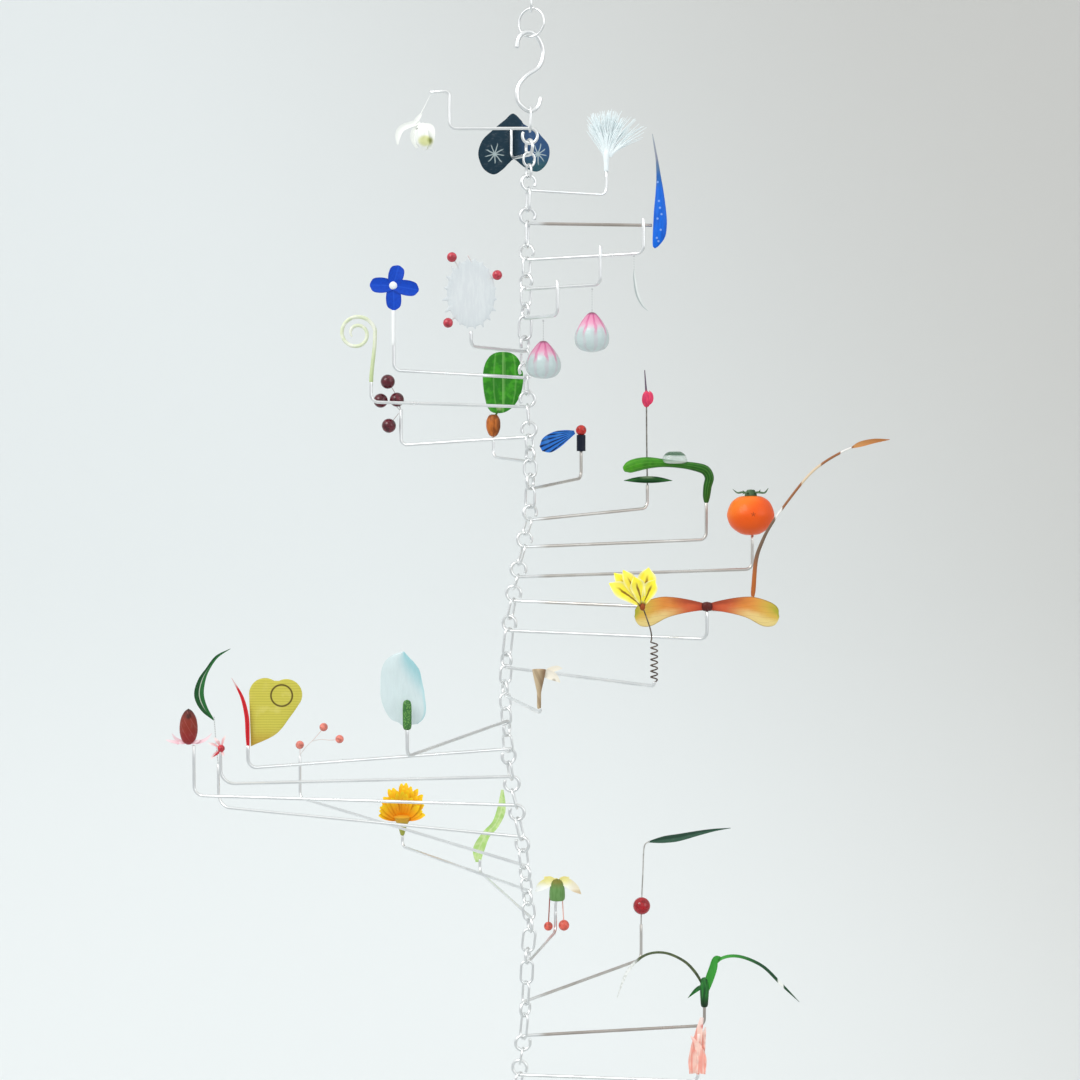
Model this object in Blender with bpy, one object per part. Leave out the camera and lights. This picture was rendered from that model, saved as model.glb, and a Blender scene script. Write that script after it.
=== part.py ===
"""A hanging mobile of paper and wire: flowers, leaves, pods and berries on bent wire arms.

A ring and an S-hook hang from one link. Below them runs a chain whose every other ring is the
eye of an arm. Each arm leaves its eye level, turns up at its end and carries one ornament, and
the arms wind round the chain like a spiral stair.

Lengths below are millimetres. The hang point, where the top link bears on its hook, is the
origin. +X is to the right as the mobile is looked at, +Y is away, +Z is up.
"""
import math
from collections import namedtuple

import bmesh
import bpy
import numpy as np

MM = 0.001

# Gaps and joins
GAP = 0.3
BITE = 0.12

# Hanging hardware
LINK_WIRE = 1.25
LINK_HALF_WIDTH = 3.0
LINK_SHOULDER = 1.5
RING_RADIUS = 7.0
RING_WIRE = 1.2
RING_DROP = 15.4
RING_TURN = -27.0
HOOK_WIRE = 2.2
HOOK_TURN = 14.0
HOOK_UPPER = (-0.8, -26.7, 6.6)
HOOK_LOWER = (-0.5, -52.7, 6.2)

# Arms
ARM_WIRE = 1.6
EYE_RADIUS = 3.7
BEND_RADIUS = 3.5
ABOVE = 1
BELOW = -1

# Where the chain hangs, as depth below the hang point and sideways sway
SWAY = (
    (56, -0.5), (178, -3.4), (235, -0.6), (262, -0.8), (310, -10.5), (348, -13.5),
    (385, -11.0), (420, -4.8), (462, -0.8), (515, -3.8), (580, -9.0),
)

# One arm: how far down its wire leaves the chain, which way it points (degrees anticlockwise
# from +X, seen from above), how far it reaches and rises, how long its upright is, and whether
# its eye stands above or below the wire
Arm = namedtuple("Arm", "name drop turn reach rise upright eye")
ARMS = (
    Arm("arm_01_snowdrop", 67.5, 179, 40.0, 0.0, 17.5, BELOW),
    Arm("arm_02_navy_leaf", 80.5, 116, 21.0, 1.0, 15.0, ABOVE),
    Arm("arm_03_white_tassel", 98.0, 24, 43.0, 0.0, 11.5, ABOVE),
    Arm("arm_04_blue_pod", 114.5, 7, 62.5, 0.0, 0.0, ABOVE),
    Arm("arm_05_thin_leaf", 132.5, -29, 64.5, 0.0, 16.5, ABOVE),
    Arm("arm_06_pink_bell", 147.0, -40, 47.0, -0.5, 18.5, ABOVE),
    Arm("arm_07_small_bell", 161.5, -65, 37.0, -1.0, 16.5, ABOVE),
    Arm("arm_08_spiny_leaf", 178.0, -120, 50.5, 0.0, 7.0, ABOVE),
    Arm("arm_09_blue_flower", 191.0, -151, 72.5, 2.0, 28.2, ABOVE),
    Arm("arm_10_tendril", 205.5, -170, 78.0, 2.0, 11.0, ABOVE),
    Arm("arm_11_dark_berries", 220.5, 166, 67.0, -4.0, 18.0, ABOVE),
    Arm("arm_12_acorn", 233.0, 122, 36.0, 2.5, 10.0, ABOVE),
    Arm("arm_13_striped_petal", 246.5, 65, 63.0, 5.0, 15.0, ABOVE),
    Arm("arm_14_pink_bud", 262.0, 33, 72.5, 5.0, 12.0, ABOVE),
    Arm("arm_15_green_pod", 275.5, 19, 99.0, 2.5, 19.0, ABOVE),
    Arm("arm_16_orange_fruit", 290.5, 8, 120.0, 3.0, 17.0, ABOVE),
    Arm("arm_17_reed", 302.5, -15, 120.5, -3.0, 8.0, ABOVE),
    Arm("arm_18_maple_key", 317.5, -30, 109.0, 0.5, 13.0, ABOVE),
    Arm("arm_19_yellow_flower", 336.0, -51, 110.0, 0.0, 2.0, ABOVE),
    Arm("arm_20_trumpet", 350.0, -72, 57.5, -2.0, 2.0, ABOVE),
    Arm("arm_21_pale_spathe", 363.0, -113, 110.5, -3.0, 13.0, BELOW),
    Arm("arm_22_heart_leaf", 377.0, -151, 138.5, 0.5, 10.5, BELOW),
    Arm("arm_23_small_flower", 391.0, -172, 144.5, -0.5, 17.0, BELOW),
    Arm("arm_24_brown_bud", 405.5, 170, 170.0, 0.0, 26.0, BELOW),
    Arm("arm_25_crescent_leaf", 421.5, 150, 194.5, -1.5, 23.5, BELOW),
    Arm("arm_26_coral_berries", 436.0, 130, 205.5, 8.0, 24.5, BELOW),
    Arm("arm_27_yellow_aster", 448.5, 121, 138.0, -0.5, 6.0, BELOW),
    Arm("arm_28_wavy_leaf", 462.0, 105, 110.0, 1.0, 7.0, BELOW),
    Arm("arm_29_fuchsia", 485.5, 76, 60.5, 2.0, 11.0, ABOVE),
    Arm("arm_30_red_berry", 505.0, 52, 101.5, 1.5, 19.0, BELOW),
    Arm("arm_31_arching_leaves", 522.5, 9, 94.0, 1.0, 11.0, BELOW),
    Arm("arm_32_pink_coral", 542.5, -14, 91.0, 3.5, 3.5, ABOVE),
    Arm("arm_33_seed_head", 558.5, -50, 66.0, 0.0, 11.0, ABOVE),
    Arm("arm_34_last_leaf", 574.5, -85, 48.0, 0.0, 13.0, ABOVE),
)

# Colours of the pieces
SILVER = (0.80, 0.81, 0.82)
WHITE = (0.90, 0.91, 0.88)
NAVY = (0.02, 0.05, 0.12)
BLUE = (0.01, 0.12, 0.62)
PINK = (0.75, 0.25, 0.45)
MIST = (0.62, 0.70, 0.72)
GREEN = (0.06, 0.28, 0.03)
BROWN = (0.30, 0.10, 0.03)
ORANGE = (0.90, 0.22, 0.02)
AMBER = (0.55, 0.38, 0.05)
YELLOW = (0.90, 0.70, 0.05)
SAND = (0.55, 0.45, 0.33)
AQUA = (0.55, 0.80, 0.82)
OLIVE = (0.58, 0.52, 0.12)
CORAL = (0.90, 0.35, 0.28)


def unit(vector):
    vector = np.asarray(vector, float)
    return vector / np.linalg.norm(vector)


def heading(turn):
    """The level direction at a number of degrees anticlockwise from +X."""
    angle = math.radians(turn)
    return np.array([math.cos(angle), math.sin(angle), 0.0])


def sway_at(drop):
    """How far the chain hangs to one side at this depth."""
    drops, sides = zip(*SWAY)
    return float(np.interp(drop, drops, sides))


# Shapes: each is (points, faces) in millimetres


def polygon(radius, sides):
    """Corners of a regular polygon with the area of a circle of this radius, one side level."""
    corner = radius * math.sqrt(2 * math.pi / (sides * math.sin(2 * math.pi / sides)))
    turns = 2 * math.pi * (np.arange(sides) + 0.5) / sides
    return corner * np.stack([np.cos(turns), np.sin(turns)], axis=1)


def loft(rings, start=None, end=None, loop=False):
    """Joins rings of equal count into one closed skin. start and end are points, or flat caps."""
    rings = np.asarray(rings, float)
    count, around = rings.shape[:2]
    points = [tuple(p) for p in rings.reshape(-1, 3)]
    faces = []
    for i in range(count if loop else count - 1):
        here = i * around
        there = ((i + 1) % count) * around
        for j in range(around):
            k = (j + 1) % around
            faces.append((here + j, here + k, there + k, there + j))
    if not loop:
        for first, tip in ((0, start), ((count - 1) * around, end)):
            edge = list(range(first, first + around))
            if tip is None:
                faces.append(tuple(edge))
                continue
            points.append(tuple(tip))
            faces.extend((edge[j], edge[(j + 1) % around], len(points) - 1) for j in range(around))
    return points, faces


def tube(path, radius, sides=4, across=(0, 1, 0), loop=False):
    """A wire along a path, mitred at each bend. radius is one size, or one for each point."""
    path = np.asarray(path, float)
    count = len(path)
    radii = np.broadcast_to(np.asarray(radius, float), count)
    runs = np.roll(path, -1, axis=0) - path
    runs = runs / np.linalg.norm(runs, axis=1)[:, None]
    across = unit(np.asarray(across, float) - runs[0] * np.dot(across, runs[0]))
    rings = []
    for i in range(count):
        after = runs[i] if loop or i < count - 1 else runs[i - 1]
        before = runs[i - 1] if loop or i > 0 else after
        flat = polygon(radii[i], sides)
        across = unit(across - before * (across @ before))
        offsets = flat[:, :1] * across + flat[:, 1:] * np.cross(before, across)
        middle = unit(before + after)
        slide = -(offsets @ middle) / (before @ middle)
        rings.append(path[i] + offsets + slide[:, None] * before)
        across = across - (across @ after) / (1 + before @ after) * (before + after)
    return loft(rings, loop=loop)


def turned(profile, sides=6, centre=(0, 0, 0), squash=1.0):
    """A profile of (radius, height) pairs turned about the upright; a radius of 0 is a point."""
    centre = np.asarray(centre, float)
    turns = 2 * math.pi * np.arange(sides) / sides
    rings = [
        centre + np.stack([r * np.cos(turns), squash * r * np.sin(turns), np.full(sides, z)], axis=1)
        for r, z in profile
        if r > 0
    ]
    tips = [centre + (0, 0, profile[i][1]) if profile[i][0] == 0 else None for i in (0, -1)]
    return loft(rings, tips[0], tips[1])


def ball(radius, centre=(0, 0, 0), tall=1.0, sides=6):
    """A round bead, or an egg where tall isn't 1."""
    half = radius * tall
    profile = [(radius * math.cos(a), half * math.sin(a)) for a in (-0.75, 0.0, 0.75)]
    return turned([(0, -half), *profile, (0, half)], sides, centre)


def plate(outline, thickness, depth=0.0):
    """A flat sheet that faces the viewer: an outline of (x, z) pairs, given a thickness in y."""
    outline = np.asarray(outline, float)
    rings = []
    for y in (depth - thickness / 2, depth + thickness / 2):
        rings.append(np.stack([outline[:, 0], np.full(len(outline), y), outline[:, 1]], axis=1))
    return loft(rings)


def blade(path, widths, thickness, facing=(0, -1, 0)):
    """A leaf along a path, lens shaped in section and pointed at both ends, turned to face a way."""
    path = np.asarray(path, float)
    facing = unit(facing)
    rings = []
    for i in range(1, len(path) - 1):
        along = unit(path[i + 1] - path[i - 1])
        side = unit(np.cross(along, facing))
        front = np.cross(side, along)
        half = widths[i - 1] / 2
        rings.append([
            path[i] + side * half,
            path[i] + front * thickness / 2,
            path[i] - side * half,
            path[i] - front * thickness / 2,
        ])
    return loft(rings, path[0], path[-1])


def shifted(shape, offset):
    points, faces = shape
    return [tuple(np.asarray(p) + offset) for p in points], faces


# Outlines


def heart_outline(width, height, count=18):
    """A heart with its point at the top: x follows the cube of a sine, z a sum of cosines."""
    t = 2 * math.pi * np.arange(count) / count
    x = np.sin(t) ** 3
    z = -(13 * np.cos(t) - 5 * np.cos(2 * t) - 2 * np.cos(3 * t) - np.cos(4 * t))
    z = (z - z.max()) / (z.max() - z.min())
    return np.stack([x * width / 2, z * height], axis=1)


def spiny_outline(width, height, spines, spike):
    """An upright oval whose edge runs out to a spine and back, spines times."""
    turns = 2 * math.pi * np.arange(2 * spines) / (2 * spines)
    reach = 1 + spike * (np.arange(2 * spines) % 2)
    return np.stack([width / 2 * reach * np.cos(turns), height / 2 * reach * np.sin(turns)], axis=1)


def petal_outline(petals, inner, outer, count=6):
    """Round petals about a centre: the edge is outer times the root of a cosine, never under inner."""
    turns = 2 * math.pi * np.arange(petals * count) / (petals * count)
    swell = np.abs(np.cos(turns * petals / 2)) ** 0.7
    reach = np.maximum(inner, outer * swell)
    return np.stack([reach * np.cos(turns), reach * np.sin(turns)], axis=1)


# Placing and joining


def new_material(name, colour, roughness=0.5, metallic=0.0):
    material = bpy.data.materials.new(name)
    material.use_nodes = True
    shader = material.node_tree.nodes["Principled BSDF"]
    shader.inputs["Base Color"].default_value = (*colour, 1.0)
    shader.inputs["Roughness"].default_value = roughness
    shader.inputs["Metallic"].default_value = metallic
    return material


def add_object(name, shape, place=(0, 0, 0), turn=0.0):
    """A mesh object in metres, closed and facing outwards, put down at a place and turned."""
    points, faces = shape
    mesh = bpy.data.meshes.new(name)
    mesh.from_pydata([tuple(MM * c for c in p) for p in points], [], faces)
    work = bmesh.new()
    work.from_mesh(mesh)
    bmesh.ops.recalc_face_normals(work, faces=work.faces)
    work.to_mesh(mesh)
    work.free()
    thing = bpy.data.objects.new(name, mesh)
    bpy.context.scene.collection.objects.link(thing)
    thing.location = [MM * c for c in place]
    thing.rotation_euler = (0, 0, math.radians(turn))
    return thing


def fuse(thing, shapes, place=(0, 0, 0)):
    """Joins further shapes onto an object with Boolean unions, so that it stays one body."""
    for number, shape in enumerate(shapes):
        helper = add_object(f"{thing.name}_join_{number}", shape, place)
        helper.hide_render = True
        helper.display_type = "WIRE"
        union = thing.modifiers.new(f"join {number}", "BOOLEAN")
        union.operation = "UNION"
        union.solver = "EXACT"
        union.object = helper


def add_ornament(name, arm, colour, shapes, roughness=0.5):
    """An ornament of one or more shapes, drawn from the tip of its arm."""
    thing = add_object(name, shapes[0], tip_of(arm))
    fuse(thing, shapes[1:], tip_of(arm))
    thing.data.materials.append(new_material(name, colour, roughness))
    return thing


# The chain


def eye_height(arm):
    """Height of the middle of an arm's eye."""
    return -arm.drop + arm.eye * EYE_RADIUS


def tip_of(arm):
    """The top of an arm's upright."""
    root = np.array([sway_at(arm.drop), 0.0, -arm.drop])
    return root + arm.reach * heading(arm.turn) + (0, 0, arm.rise + arm.upright)


def half_thickness(wire):
    """Half the side of the square with the area of the round wire."""
    return polygon(wire / 2, 4)[0, 0]


def link_shape(top, bottom, turn):
    """A flat-ended oval link between two heights, its plane turned about the upright."""
    top, bottom = np.asarray(top, float), np.asarray(bottom, float)
    up = unit(top - bottom)
    side = heading(turn)
    side = unit(side - up * (side @ up))
    half = np.linalg.norm(top - bottom) / 2
    middle = (top + bottom) / 2
    straight = half - (LINK_HALF_WIDTH - LINK_SHOULDER) * 1.1
    corners = [
        (LINK_SHOULDER, half), (-LINK_SHOULDER, half),
        (-LINK_HALF_WIDTH, straight), (-LINK_HALF_WIDTH, -straight),
        (-LINK_SHOULDER, -half), (LINK_SHOULDER, -half),
        (LINK_HALF_WIDTH, -straight), (LINK_HALF_WIDTH, straight),
    ]
    path = [middle + side * s + up * u for s, u in corners]
    return tube(path, LINK_WIRE / 2, across=np.cross(side, up), loop=True)


def links_between(upper, lower):
    """The links that hang in one arm's eye and hold the next, the first biting into the eye."""
    eye, link = half_thickness(ARM_WIRE), half_thickness(LINK_WIRE)
    start = eye_height(upper) - EYE_RADIUS + eye + link - BITE
    finish = eye_height(lower) + EYE_RADIUS - eye - link - GAP
    if start - finish < 2 * LINK_SHOULDER + 2 * link:
        return []
    count = 1 if start - finish < 15 and abs(spin_between(upper, lower)) < 60 else 2
    turns = spin_between(upper, lower)
    whole = turns + 180 * round((90 * (count + 1) - turns) / 180)
    overlap = 2 * link - BITE
    length = (start - finish + (count - 1) * overlap) / count
    shapes = []
    for number in range(count):
        high = start - number * (length - overlap)
        left, right = sway_at(upper.drop), sway_at(lower.drop)
        top = (left + (right - left) * number / count, 0, high)
        bottom = (left + (right - left) * (number + 1) / count, 0, high - length)
        shapes.append(link_shape(top, bottom, upper.turn + whole * (number + 1) / (count + 1)))
    return shapes


def spin_between(upper, lower):
    """Degrees from one arm's heading to the next, the short way round."""
    return (lower.turn - upper.turn + 180) % 360 - 180


def hanging_link():
    """The link that the whole mobile hangs by. It bears on its hook at the origin."""
    link, ring = half_thickness(LINK_WIRE), half_thickness(RING_WIRE)
    bottom = -RING_DROP + RING_RADIUS - ring - link - GAP
    shape = link_shape((0, 0, link), (0, 0, bottom), 90)
    thing = add_object("hanging_link", shape)
    thing.data.materials.append(new_material("hanging_link", SILVER, 0.3, 1.0))


def ceiling_ring():
    turns = 2 * math.pi * (np.arange(12) + 0.5) / 12
    corner = RING_RADIUS / math.cos(math.pi / 12)
    path = [(corner * math.cos(a), 0, corner * math.sin(a) - RING_DROP) for a in turns]
    thing = add_object("split_ring", tube(path, RING_WIRE / 2, loop=True), turn=RING_TURN)
    thing.data.materials.append(new_material("split_ring", SILVER, 0.3, 1.0))


def s_hook():
    """Two arcs of wire joined by their slanting tangent, open to the left above, to the right below."""
    path = []
    for (x, z, radius), first, step, count in ((HOOK_UPPER, 186, -24, 10), (HOOK_LOWER, 150, 24, 9)):
        for angle in np.radians(first + step * np.arange(count)):
            path.append((x + radius * math.cos(angle), 0, z + radius * math.sin(angle)))
    thing = add_object("s_hook", tube(path, HOOK_WIRE / 2, sides=6), turn=HOOK_TURN)
    thing.data.materials.append(new_material("s_hook", SILVER, 0.3, 1.0))


def top_link():
    """The first link of the chain, between the S-hook and the first arm's eye."""
    link = half_thickness(LINK_WIRE)
    hook = np.linalg.norm(polygon(HOOK_WIRE / 2, 6)[0])
    x, z, radius = HOOK_LOWER
    top = (x, 0, z - radius + hook + link + GAP)
    first = ARMS[0]
    eye_top = eye_height(first) + EYE_RADIUS - half_thickness(ARM_WIRE)
    bottom = (sway_at(first.drop), 0, eye_top - link - GAP)
    thing = add_object("top_link", link_shape(top, bottom, 95))
    thing.data.materials.append(new_material("top_link", SILVER, 0.3, 1.0))


# The arms, drawn with the arm along +X of the object and its eye about the upright


def arm_path(arm, end=()):
    """The route of an arm's wire: round its eye, out along the arm, up, and on through end."""
    corner = EYE_RADIUS / math.cos(math.pi / 8)
    turns = -math.pi / 8 + math.pi / 4 * np.arange(7)
    ring = [(corner * math.cos(a), corner * math.sin(a)) for a in turns]
    ring[0] = (EYE_RADIUS - 0.35, -EYE_RADIUS + 1.85)
    middle = arm.eye * EYE_RADIUS
    route = [np.array([x, 0.0, middle + arm.eye * z]) for x, z in ring]
    if not arm.upright:
        return [*route, np.array([arm.reach, 0.0, arm.rise])]
    out = unit((arm.reach, 0.0, arm.rise))
    knee = np.array([arm.reach, 0.0, arm.rise])
    bend = min(BEND_RADIUS, arm.upright) * 0.6
    route.append(knee - out * bend)
    route.append(knee + (0, 0, bend))
    route.append(knee + (0, 0, arm.upright))
    return [*route, *end]


def add_arm(arm, lower, extras=(), end=()):
    """An arm's wire with its eye, the links that hang in the eye, and what is fixed to its tip."""
    place = (sway_at(arm.drop), 0, -arm.drop)
    thing = add_object(arm.name, tube(arm_path(arm, end), ARM_WIRE / 2), place, arm.turn)
    if lower:
        fuse(thing, links_between(arm, lower))
    for number, shape in enumerate(extras):
        fuse_at_tip(thing, arm, shape, number)
    thing.data.materials.append(new_material(arm.name, SILVER, 0.3, 1.0))
    return thing


def fuse_at_tip(thing, arm, shape, number):
    helper = add_object(f"{thing.name}_extra_{number}", shape, tip_of(arm))
    helper.hide_render = True
    helper.display_type = "WIRE"
    union = thing.modifiers.new(f"extra {number}", "BOOLEAN")
    union.operation = "UNION"
    union.solver = "EXACT"
    union.object = helper


# What is fixed to an arm's tip, drawn from the tip


def thin_leaf():
    """A narrow leaf on a thread that hangs from the level wire, just short of its bend."""
    x, y = -4.4, 2.4
    thread = tube([(x, y, -16.3), (x, y, -25)], 0.3, 3)
    leaf = blade([(x, y, -24), (x + 0.4, y, -29.5), (x + 1.7, y, -36), (x + 7, y, -44.2)], (1.3, 1.6), 0.9)
    return [thread, leaf]


def tendril():
    """A stem that goes up and curls in on itself, its radius falling evenly as it turns."""
    path = [(0, 0, -1.0), (0.8, 0, 8.0), (1.9, 0, 16.0)]
    steps = 10
    for i in range(steps + 1):
        share = i / steps
        angle = math.radians(10 + 560 * share)
        radius = 9.2 - 6.6 * share
        path.append((-7.0 + radius * math.cos(angle), 0, 22.5 + radius * math.sin(angle)))
    return [tube(path, 0.95)]


def dark_berries():
    shapes = []
    for place in ((-6.6, 0, 14.2), (-10.2, 0, 4.6), (-2.0, 0, 5.1), (-6.1, 0, -8.1)):
        shapes.append(tube([(0, 0, -1), place], 0.35, 3, across=(0.1, 1, 0)))
        shapes.append(ball(3.7, place, sides=5))
    return shapes


def drum_and_ball():
    return [turned([(2.35, -0.8), (2.35, 7.8)], 6), ball(2.9, (0, 0, 10.2))]


def rosette_and_bud():
    left = blade([(1.4, 0.2, 3.1), (-4, 0.5, 2.2), (-13, 0, 4.6)], (4.2,), 2.2)
    right = blade([(-1.7, -0.3, 2.5), (4, -0.6, 2.4), (9.4, 0, 4.0)], (3.0,), 2.0)
    stem = tube([(0.1, 0.1, -1.0), (-0.5, 0.1, 40.5)], 0.4, 3)
    bud = ball(2.35, (-0.5, 0, 44.0), 1.55)
    tip = tube([(-0.6, 0.05, 45), (-1.5, 0, 57.5)], (0.6, 0.2), 3)
    return [left, right, stem, bud, tip]


def reed():
    path = [(0, 0, -1), (0.5, 0, 2), (1.9, 0, 19), (7.5, 0, 31), (15, 0, 43), (26, 0, 57), (42.6, 0, 69.2)]
    stem = tube(path, (0.8, 1.2, 1.0, 0.8, 0.8, 0.8, 0.8))
    leaf = blade([(41, 0, 68.4), (48, 0, 71.6), (57, 0, 74.6), (66.3, 0, 75.5)], (2.6, 2.2), 1.6)
    return [stem, leaf]


def coil_spring():
    """A few turns of thin dark wire, then a straight stem."""
    turns, steps = 4, 4
    path = [(0, 0, -1.0)]
    for i in range(turns * steps + 1):
        angle = 2 * math.pi * i / steps
        path.append((1.5 * math.cos(angle) - 0.1, 1.5 * math.sin(angle), 1.2 + 17 * i / (turns * steps)))
    path += [(-0.5, 0, 21.5), (-4.9, 0, 31.6)]
    return [tube(path, 0.35, 3, across=(0.2, 1, 0.1))]


def spadix():
    return [turned([(0.9, -1.2), (2.0, 0.5), (2.0, 10.5), (1.3, 12.6)], 6)]


def red_blade():
    path = [(0.2, 0, -1.5), (0, 0, 5), (-0.4, 0, 14), (-2.6, 0, 23), (-7.5, 0, 32.2)]
    return [blade(path, (1.9, 2.0, 1.5), 1.6)]


def little_flower():
    shapes = [ball(1.4, (0.4, 0, 0.6))]
    for x, z in ((-6.0, 3.5), (-5.0, -4.5), (2.5, 7.0)):
        shapes.append(blade([(0.4, 0, 0.2), (x * 0.6, 0.2, z * 0.55), (x, 0, z)], (1.6,), 1.0))
    return shapes


def crescent():
    wire = tube([(0, 0, -1), (-2.2, 0, 26.5)], 0.4, 3)
    leaf = blade(
        [(-2.2, 0, 24.5), (-7.5, 0, 31.5), (-10.4, 0, 39.5), (-7.0, 0, 51), (-0.5, 0, 59.5), (7.1, 0, 64.1)],
        (4.4, 5.4, 2.0, 1.2), 1.2,
    )
    return [wire, leaf]


def coral_berries():
    places = ((0, 0, 6.4), (13.9, 0, 16.8), (23.1, 0, 9.8))
    fork = (8.0, 0, 9.5)
    shapes = [tube([(0, 0.1, -1), (0, 0, 6)], 0.35, 3), tube([(-0.4, -0.2, 0.6), fork, places[1]], 0.35, 3)]
    shapes.append(tube([(6.9, 0.1, 8.2), (14.5, 0, 9.2), places[2]], 0.3, 3, across=(0.1, 1, 0.3)))
    return shapes + [ball(2.6, place, sides=5) for place in places]


def wavy_leaf():
    path = [(-1.0, 0, -1.5), (-0.4, 0, 5.6), (3.4, 0, 13.5), (8.8, 0, 20), (12.0, 0, 28), (12.6, 0, 36)]
    rings = []
    for i, (point, half) in enumerate(zip(path, (3.2, 3.2, 2.4, 2.2, 2.4, 1.8))):
        along = unit(np.subtract(path[min(i + 1, len(path) - 1)], path[max(i - 1, 0)]))
        side = np.cross(along, (0, -1, 0)) * half
        front = np.array([0, 0.5, 0])
        rings.append([point + side - front, point - side - front, point - side + front, point + side + front])
    return [loft(rings)]


def berry_and_leaf():
    stem = tube([(0, 0, -1), (1.2, 0, 38), (2.2, 0, 42), (7.5, 0, 44.5)], 0.4, 3)
    route = [(5.8, 0, 43.9), (14, 0, 46.5), (22, 0, 47.6), (34, 0, 51.4), (48.6, 0, 52.9)]
    leaf = blade(route, (4.8, 4.6, 2.4), 1.2)
    return [stem, ball(4.4, (0.3, 0, 10.3), sides=8), leaf]


def arching_leaves():
    sheath = turned([(1.8, -1.2), (2.3, 8.0), (1.6, 13.0)], 6)
    spear = blade([(0.3, -0.2, 5.5), (2.0, -0.2, 12), (4.2, -0.1, 18), (6.2, 0, 25.0)], (4.0, 4.2), 2.4)
    route = [
        (0.4, 0.5, 7.4), (-4.5, 0.5, 16), (-11, 0.3, 22.5), (-21, 0, 27), (-32, 0, 24.8),
        (-39.6, 0, 16.8), (-45, 0, 3),
    ]
    left = blade(route, (2.2, 1.9, 1.6, 1.5, 1.3), 1.0, (0, -1, 0.6))
    right = blade(
        [(3.0, 0.4, 17), (8.5, 0.5, 23.8), (17.7, 0.2, 24.9), (29.4, 0, 19.8), (39.1, 0, 10.5), (48.8, 0, 1)],
        (1.6, 2.2, 2.4, 2.2), 1.0, (0, -1, 0.6),
    )
    side = blade([(0.6, -0.6, 9.3), (-4.2, -0.8, 7.6), (-8.6, -0.5, 3.4)], (2.0,), 1.4)
    return [sheath, spear, left, right, side]


def seed_head():
    stem = tube([(0, 0, -1), (0.5, 0, 9)], 0.5, 3)
    return [stem, ball(3.6, (0.5, 0, 12.0), 1.2)]


def last_leaf():
    return [blade([(0, 0, -1.5), (1.5, 0, 7), (3.0, 0, 17), (7.5, 0, 28)], (5.0, 6.0), 1.4)]


FIXED_TO_TIP = {
    "arm_05_thin_leaf": thin_leaf,
    "arm_10_tendril": tendril,
    "arm_11_dark_berries": dark_berries,
    "arm_13_striped_petal": drum_and_ball,
    "arm_14_pink_bud": rosette_and_bud,
    "arm_17_reed": reed,
    "arm_19_yellow_flower": coil_spring,
    "arm_21_pale_spathe": spadix,
    "arm_22_heart_leaf": red_blade,
    "arm_23_small_flower": little_flower,
    "arm_25_crescent_leaf": crescent,
    "arm_26_coral_berries": coral_berries,
    "arm_28_wavy_leaf": wavy_leaf,
    "arm_30_red_berry": berry_and_leaf,
    "arm_31_arching_leaves": arching_leaves,
    "arm_33_seed_head": seed_head,
    "arm_34_last_leaf": last_leaf,
}

# How far a tip turns over, outwards, so that a thread can hang from it
CROOKS = {"arm_01_snowdrop": 9.5}


def crook(arm):
    """The turned-over tip of an upright, as points of the arm's own frame."""
    reach = CROOKS.get(arm.name)
    if not reach:
        return ()
    top = np.array([arm.reach, 0.0, arm.rise + arm.upright])
    return top + (1.4, 0, 1.0), top + (reach, 0, 0.4)


# Ornaments of their own, drawn from the tip of their arm


def snowdrop():
    """A nodding cup between two curled petals, on a thread from the turned-over tip."""
    profile = [(0, -13.5), (1.6, -15), (5.0, -20), (5.6, -24.5), (3.4, -28.0), (0, -29)]
    body = turned(profile, 6, (-12.5, 0.13, 0))
    thread = tube([(-9.3, 0.8, -0.9), (-16.5, 0, -10.8), (-13.0, 0, -14.6)], (0.25, 0.3, 0.6), 3)
    route = [(-11.8, 0.3, -15.3), (-19.5, 0.2, -17.5), (-24.5, 0, -22.5), (-25.5, 0, -29)]
    left = blade(route, (3.4, 3.4), 1.4)
    route = [(-13.0, -0.4, -15.7), (-8.6, -1.9, -17.0), (-6.4, -2.4, -21.5), (-7.6, -1.9, -27.8)]
    right = blade(route, (5.0, 5.0), 1.6)
    add_ornament("snowdrop", ARMS[0], WHITE, [body, thread, left, right])


def navy_leaf():
    """An upside-down heart that stands behind the upright."""
    leaf = plate(heart_outline(36.6, 31.1), 0.9, 1.6)
    add_ornament("navy_leaf", ARMS[1], NAVY, [shifted(leaf, (1.5, 0, 6.6))])


def white_tassel():
    """A short stem that opens into a spray of strands."""
    stem = turned([(1.2, GAP), (1.4, 8.6), (1.0, 10.5)], 6)
    shapes = [stem]
    strands = ((-9.8, 29.0), (-4.6, 31.0), (1.2, 33.0), (8.0, 31.0), (19.8, 26.5))
    for number, (lean, height) in enumerate(strands):
        side = 0.5 - number % 2
        path = [
            (0.06 * lean, 0.4 * side, 7.0 + 0.2 * number),
            (0.45 * lean, 1.6 * side, 8.5 + 0.5 * (height - 8.5)),
            (lean, 3.0 * side, height),
        ]
        shapes.append(tube(path, (0.7, 0.7, 0.35), 3))
    add_ornament("white_tassel", ARMS[2], WHITE, shapes)


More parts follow.
